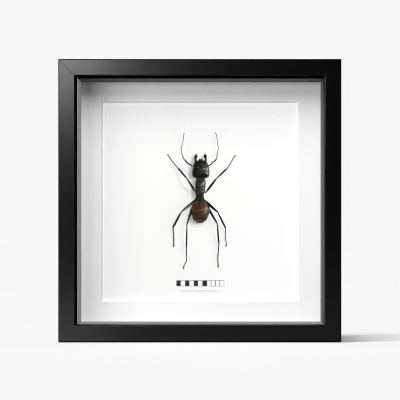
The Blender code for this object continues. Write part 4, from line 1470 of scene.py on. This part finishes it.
def stout(shape, girth):
    """The same thickness along a limb, times a factor."""
    return [(share, radius * girth) for share, radius in shape]


def make_leg(name, leg, chitin_of_legs):
    """Coxa, trochanter, femur, tibia with its spur, five joints of the foot, and claws."""
    shell = Shell()
    pair, side_name = name.split("_")
    side = -1 if side_name == "left" else 1
    out, up, height = COXA_ROOTS[pair]
    root = (side * out, up, height)
    whole(shell, Track([root, leg.coxa[0], leg.coxa[1]]), COXA_SHAPE)
    turn = Track([leg.coxa[1]] + leg.trochanter)
    whole(shell, turn, TROCHANTER_SHAPE, 0.14)
    hip = leg.trochanter[-1]
    femur_shape = stout(FEMUR_SHAPE, leg.girths[0])
    tibia_shape = stout(TIBIA_SHAPE, leg.girths[1])
    tarsus_shape = stout(TARSUS_SHAPE, leg.girths[2])
    femur = straight(hip, leg.knee, 0.15)
    whole(shell, femur, femur_shape)
    tibia = straight(leg.knee, leg.ankle, 0.1)
    knee_track = Track([tuple(femur.at(femur.length - 0.35)), leg.knee, tuple(tibia.at(0.45))])
    whole(shell, knee_track, JOINT_SHAPE, 0.5)
    add_limb(shell, tibia, 0.12, tibia.length, tibia_shape)
    ankle = Vector(leg.ankle)
    ahead = (Vector(leg.foot[0]) - ankle).normalized()
    spur_tip = ankle + ahead * 0.75 - Vector((0.0, 0.0, 0.32))
    spur = straight(ankle - Vector((0.0, 0.0, 0.2)), spur_tip)
    whole(shell, spur, SPUR_SHAPE, 0.35, sides=8)
    instep = straight(ankle - ahead * 0.15, leg.foot[0])
    whole(shell, instep, tarsus_shape, leg.paleness)
    toes = Track(leg.foot)
    for start, end in zip(FOOT_SHARES, FOOT_SHARES[1:]):
        last = end == FOOT_SHARES[-1]
        shape = stout(LAST_TARSUS_SHAPE, leg.girths[2]) if last else tarsus_shape
        reach = end * toes.length - (CLAW_ROOM if last else 0.0)
        add_limb(shell, toes, max(0.0, start * toes.length - TOE_OVERLAP), reach, shape,
                 lambda share: leg.paleness * (1.5 - share))
    tip = toes.at(toes.length - 0.36)
    add_claws(shell, tip, (toes.at(toes.length) - toes.at(toes.length - 0.5)).normalized())
    dice = random.Random(len(name) * 7 + side)
    add_hairs_along(shell, dice, femur, femur_shape, 16, 0.3)
    add_hairs_along(shell, dice, tibia, tibia_shape, 34, 0.28)
    add_hairs_along(shell, dice, instep, tarsus_shape, 26, 0.2)
    shell.ant_piece("leg_" + name, chitin_of_legs)


def make_antenna(side, points, chitin_of_legs):
    """A long scape, an elbow, and a lash of eleven slender beads."""
    shell = Shell()
    track = Track(points)
    bend = Vector(points[SCAPE_POINTS - 1])
    elbow = min(zip(track.places, track.walked), key=lambda spot: (spot[0] - bend).length)[1]
    add_limb(shell, track, 0.0, 0.6, SOCKET_SHAPE, 0.1)
    scape_radius = SCAPE_RADII[side]
    scape_shape = [(0.0, SOCKET_RADIUS - 0.03), (0.1, SOCKET_RADIUS), (0.6, scape_radius - 0.04),
                   (0.92, scape_radius), (1.0, scape_radius - 0.04)]
    add_limb(shell, track, 0.3, elbow, scape_shape, lambda share: 0.25 * fade(share, 0.93, 1.0))
    bead = (track.length - elbow) / (FUNICULUS_BEADS + 0.6)
    start = elbow - 0.12
    for index in range(FUNICULUS_BEADS):
        length = bead * (1.6 if index == 0 else 1.0)
        end = min(start + length + 0.05, track.length)
        thick = FUNICULUS_RADIUS * (1 + 0.3 * max(0.0, 1 - index / 3))
        shape = [(0.0, thick - 0.05), (0.25, thick - 0.02), (0.8, thick + 0.015), (1.0, thick - 0.02)]
        tint = 0.25 + 0.35 * index / FUNICULUS_BEADS
        add_limb(shell, track, start, end, shape,
                 lambda share, tint=tint: tint + 0.35 * swell(share, 0.12), sides=14)
        start = end - 0.05
    dice = random.Random(61 if side == "left" else 67)
    scape = Track(points[:SCAPE_POINTS])
    add_hairs_along(shell, dice, scape, [(0.0, 0.2), (1.0, scape_radius)], 22, 0.26)
    shell.ant_piece("antenna_" + side, chitin_of_legs)


JOINT_BROWN = tone(0.16, 0.11, 0.08)


def make_ant():
    black = chitin("black_chitin", mottled(tone(0.0018, 0.0022, 0.0009), tone(0.0045, 0.0046, 0.0022)),
                   JOINT_BROWN, 0.05, wrinkles=0.42, wrinkle_pitch=1.1)
    grey_black_with_sheen = chitin("thorax_chitin", thorax_shade, JOINT_BROWN, 0.25, wrinkles=0.1, coat=0.0)
    brown = chitin("brown_chitin", gaster_shade, tone(0.62, 0.43, 0.30), 0.36, wrinkles=0.02, coat=0.0)
    legs = chitin("leg_chitin", mottled(tone(0.0020, 0.0020, 0.0015), tone(0.0060, 0.0055, 0.0040)),
                  tone(0.34, 0.29, 0.265), 0.28, grain_pitch=0.05, coat=0.1)
    make_head(black, eye_facets())
    for side, name in ((-1, "left"), (1, "right")):
        make_mandible(side, name, black)
    make_thorax(grey_black_with_sheen)
    make_waist(grey_black_with_sheen)
    make_gaster(brown)
    for name, leg in LEGS.items():
        make_leg(name, leg, legs)
    for side, points in ANTENNAE.items():
        make_antenna(side, points, legs)


def dress(nodes, material):
    """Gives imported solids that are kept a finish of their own."""
    for name in nodes:
        mesh = frame["nodes"][name].data
        mesh.materials.clear()
        mesh.materials.append(material)


def make_frame():
    make_rails()
    steel = zinc_steel()
    make_tabs(steel)
    make_hanger(steel)
    make_nails(steel)
    dress(["spacer_" + side for side in SIDES], black_liner())
    dress(["glass"], clear_glass())
    dress(["mat"], window_mat())
    dress(["mount_board"], mount_board())
    dress(["back_panel"], fibreboard())


# The studio: a pale floor, a pale room, soft lamps and the camera
PALE_LEVEL = 0.9216
ROOM_FILL = 0.05
ROOM_MIRRORED = 0.022
FLOOR_REACH = 3.0
FLOOR_DROP = 0.0002
FLOOR_WHITE = 0.2
FLOOR_GLOW = 0.308
# A fan of narrow lights overhead draws the shadow beside the frame, from these tilts in degrees
SHADOW_TILTS = (1.0, 2.9, 4.5, 6.2, 8.6, 12.2, 17.7, 27.5)
# How far each of them leans to the front, in degrees: a start and a share of its tilt
FRONT_LEAN = 0.8
FRONT_LEAN_SHARE = 0.3
SHADOW_STRENGTH = 1.2
# How wide each of them looks, in degrees, and how high up it hangs
SHADOW_SOFTNESS = 3.0
OVERHEAD = 1000.0


def named(pieces, *starts):
    return {piece for piece in pieces if piece.name.startswith(starts)}


def light_groups(floor, frame_pieces, ant_pieces):
    """The sets of pieces that the lamps light, or whose shadows they cast."""
    nodes = frame["nodes"]
    board = {nodes["mount_board"]}
    members = {
        "framing": frame_pieces - board,
        "mounted": ant_pieces | board,
        "walls": frame_pieces,
        "ant": ant_pieces,
        "torso": named(ant_pieces, "head", "mandible", "thorax", "waist", "gaster"),
        "ground": {floor},
        "rails": named(frame_pieces, "painted_rail"),
        "thorax_and_waist": named(ant_pieces, "thorax", "waist"),
        "face": named(ant_pieces, "head", "mandible"),
        "strips": {nodes["spacer_left"], nodes["spacer_bottom"]},
        "fixings": named(frame_pieces, "back_panel", "steel_tab", "sawtooth", "domed_nail"),
    }
    groups = {}
    for name, pieces in members.items():
        groups[name] = bpy.data.collections.new(name)
        for piece in pieces:
            groups[name].objects.link(piece)
    return groups


def make_floor():
    """A plain pale floor, which takes the frame's shadow and lights nothing itself."""
    finish = Finish("pale_floor")
    soft = finish.speckle(finish.place(), 0.01, 2.0)
    floor_paint = finish.gloss(
        Base_Color=finish.blend(soft, grey(FLOOR_WHITE), grey(FLOOR_WHITE + 0.01)), Roughness=0.9,
        Specular_IOR_Level=0.0, Emission_Color=grey(1.0), Emission_Strength=FLOOR_GLOW)
    shell = Shell()
    corners = [(-FLOOR_REACH, -FLOOR_REACH), (FLOOR_REACH, -FLOOR_REACH),
               (FLOOR_REACH, FLOOR_REACH), (-FLOOR_REACH, FLOOR_REACH)]
    shell.bm.faces.new([shell.point((x, y, -FLOOR_DROP)) for x, y in corners])
    floor = shell.piece("pale_floor", [finish.done(floor_paint)])
    floor.visible_diffuse = False
    floor.visible_glossy = False
    return floor


def make_room():
    """A pale room all round. It is seen at its full tone and lights the frame only a little."""
    world = bpy.data.worlds.new("pale_room")
    bpy.context.scene.world = world
    world.use_nodes = True
    tree = world.node_tree
    background = tree.nodes["Background"]
    background.inputs["Color"].default_value = grey(1.0)
    path = tree.nodes.new('ShaderNodeLightPath')
    seen = tree.nodes.new('ShaderNodeMix')
    mirrored = tree.nodes.new('ShaderNodeMix')
    mirrored.inputs[2].default_value = ROOM_FILL
    mirrored.inputs[3].default_value = ROOM_MIRRORED
    seen.inputs[3].default_value = PALE_LEVEL
    tree.links.new(path.outputs["Is Glossy Ray"], mirrored.inputs[0])
    tree.links.new(path.outputs["Is Camera Ray"], seen.inputs[0])
    tree.links.new(mirrored.outputs[0], seen.inputs[2])
    tree.links.new(seen.outputs[0], background.inputs["Strength"])


def hang_lamp(light, place, towards, lights, shaded_by=None):
    """Hangs a lamp in millimetres from the middle of the frame's face, turned to a point there."""
    lamp = placed(light.name, light)
    lamp.location = frame_point(*place)
    aim = frame_point(*towards) - lamp.location
    lamp.rotation_euler = aim.to_track_quat('-Z', 'Y').to_euler()
    lamp.light_linking.receiver_collection = lights
    lamp.light_linking.blocker_collection = shaded_by
    lamp.visible_camera = False
    return lamp


# Which rays a lamp is hidden from: a wash makes no highlights, and a glint makes nothing else
WASH = "visible_glossy"
GLINT = "visible_diffuse"
WHITE = (1.0, 1.0, 1.0)
COOL_KEY = (0.985, 1.005, 1.05)
WARM_SKY = (1.0, 0.98, 0.93)
BOARD_MIDDLE = (0.0, 0.0, 22.0)
KEY_PLACE = (155.0, 35.0, -485.0)
GLINT_PLACE = (115.0, 28.0, -490.0)
SIDE_PLACE = (610.0, 160.0, -800.0)

# Every lamp but the overhead ones: what it lights and what shades it, its place and what it
# points at, its width and height in millimetres or the radius of a spot lamp, and its power
Lamp = namedtuple("Lamp", "name lights shaded_by place towards size power hidden_from tint",
                  defaults=(None, WHITE))
LAMPS = [
    # The light on the frame and its mat, and what of it reaches the board over the walls
    Lamp("skylight", "framing", "walls", (0.0, 655.0, -600.0), (0.0, 655.0, 0.0),
         (150.0, 920.0), 9.4, WASH),
    Lamp("window_light", "framing", "walls", (-555.0, 45.0, -600.0), (-555.0, 45.0, 0.0),
         (810.0, 150.0), 5.7, WASH),
    Lamp("high_sky", "mounted", "walls", (0.0, 690.0, -600.0), (0.0, 690.0, 0.0),
         (150.0, 680.0), 4.76, WASH, WARM_SKY),
    Lamp("left_sky", "mounted", "walls", (-585.0, 45.0, -600.0), (-585.0, 45.0, 0.0),
         (530.0, 150.0), 2.64, WASH, WARM_SKY),
    # The light on the ant and the board: its shadows fall to the left and a little down
    Lamp("body_key", "mounted", "torso", KEY_PLACE, BOARD_MIDDLE, (90.0, 60.0), 1.27, WASH, COOL_KEY),
    Lamp("side_key", "mounted", "ant", SIDE_PLACE, BOARD_MIDDLE, (560.0, 320.0), 2.0, WASH),
    Lamp("far_key", "mounted", "ant", (167.0, 195.0, -480.0), BOARD_MIDDLE, 12.0, 2.4, WASH),
    # The highlights on the rails and on the ant
    Lamp("corner_sheen", "rails", "walls", (-155.0, 165.0, -500.0), BOARD_MIDDLE, (95.0, 95.0), 0.58, GLINT),
    Lamp("table_sheen", "rails", "walls", (-190.0, -130.0, -500.0), BOARD_MIDDLE, (160.0, 60.0), 0.13, GLINT),
    Lamp("floor_sheen", "rails", "walls", (0.0, -110.0, -500.0), BOARD_MIDDLE, (460.0, 50.0), 0.05, GLINT),
    Lamp("key_glint", "thorax_and_waist", "ant", GLINT_PLACE, BOARD_MIDDLE, (90.0, 60.0), 0.8, GLINT),
    Lamp("face_glint", "face", "ant", GLINT_PLACE, BOARD_MIDDLE, (50.0, 35.0), 0.4, GLINT),
    Lamp("side_glint", "ant", "ant", SIDE_PLACE, BOARD_MIDDLE, (150.0, 100.0), 2.0, GLINT),
    Lamp("ant_sheen", "ant", "ant", (400.0, 80.0, -130.0), BOARD_MIDDLE, (260.0, 260.0), 2.9, GLINT),
    # The light on the spacer strips and on the fixings at the back
    Lamp("strip_light", "strips", "ant", (260.0, 220.0, -450.0), (-55.0, -55.0, 15.0), (80.0, 80.0), 11.5),
    Lamp("back_light", "fixings", None, (180.0, 220.0, 480.0), (0.0, 0.0, 30.0), (300.0, 300.0), 3.2),
]


def lamp_light(lamp):
    """A rectangular soft lamp, or a spot that throws a soft pool of light on the board."""
    is_spot = not isinstance(lamp.size, tuple)
    light = bpy.data.lights.new(lamp.name, 'SPOT' if is_spot else 'AREA')
    light.energy = lamp.power
    light.color = lamp.tint
    if is_spot:
        light.shadow_soft_size = lamp.size * MM
        light.spot_size = math.radians(30)
        light.spot_blend = 0.5
    else:
        light.shape = 'RECTANGLE'
        light.size = lamp.size[0] * MM
        light.size_y = lamp.size[1] * MM
    return light


def make_lamps(groups):
    for lamp in LAMPS:
        hung = hang_lamp(lamp_light(lamp), lamp.place, lamp.towards,
                         groups[lamp.lights], groups.get(lamp.shaded_by))
        if lamp.hidden_from:
            setattr(hung, lamp.hidden_from, False)
    for tilt in SHADOW_TILTS:
        sun = bpy.data.lights.new("overhead_%g" % tilt, 'SUN')
        sun.energy = SHADOW_STRENGTH
        sun.angle = math.radians(SHADOW_SOFTNESS)
        left = OVERHEAD * math.tan(math.radians(tilt))
        front = OVERHEAD * math.tan(math.radians(FRONT_LEAN + FRONT_LEAN_SHARE * tilt))
        hang_lamp(sun, (-left, OVERHEAD, -front), (0.0, 0.0, 0.0), groups["ground"])


PHOTO_WIDTH = 400
FOCAL_PIXELS = 1133.7
SENSOR = 36.0
CAMERA_PLACE = (0.01111, -0.515, 0.0482)
SHIFT_PIXELS = (-25.0, 33.0)


def make_camera():
    """The camera looks level at the frame, a little right of its middle and below it."""
    data = bpy.data.cameras.new("camera")
    data.sensor_width = SENSOR
    data.lens = FOCAL_PIXELS * SENSOR / PHOTO_WIDTH
    data.shift_x = SHIFT_PIXELS[0] / PHOTO_WIDTH
    data.shift_y = SHIFT_PIXELS[1] / PHOTO_WIDTH
    data.clip_start = 0.01
    camera = placed("camera", data)
    camera.location = CAMERA_PLACE
    camera.rotation_euler = (math.radians(90), 0.0, 0.0)
    bpy.context.scene.camera = camera


def set_tones():
    scene = bpy.context.scene
    scene.view_settings.view_transform = 'Standard'
    scene.view_settings.look = 'None'
    scene.cycles.use_denoising = True
    scene.cycles.filter_width = 1.0


make_frame()
frame_pieces = set(bpy.data.objects)
make_ant()
ant_pieces = set(bpy.data.objects) - frame_pieces
make_room()
make_lamps(light_groups(make_floor(), frame_pieces, ant_pieces))
make_camera()
set_tones()
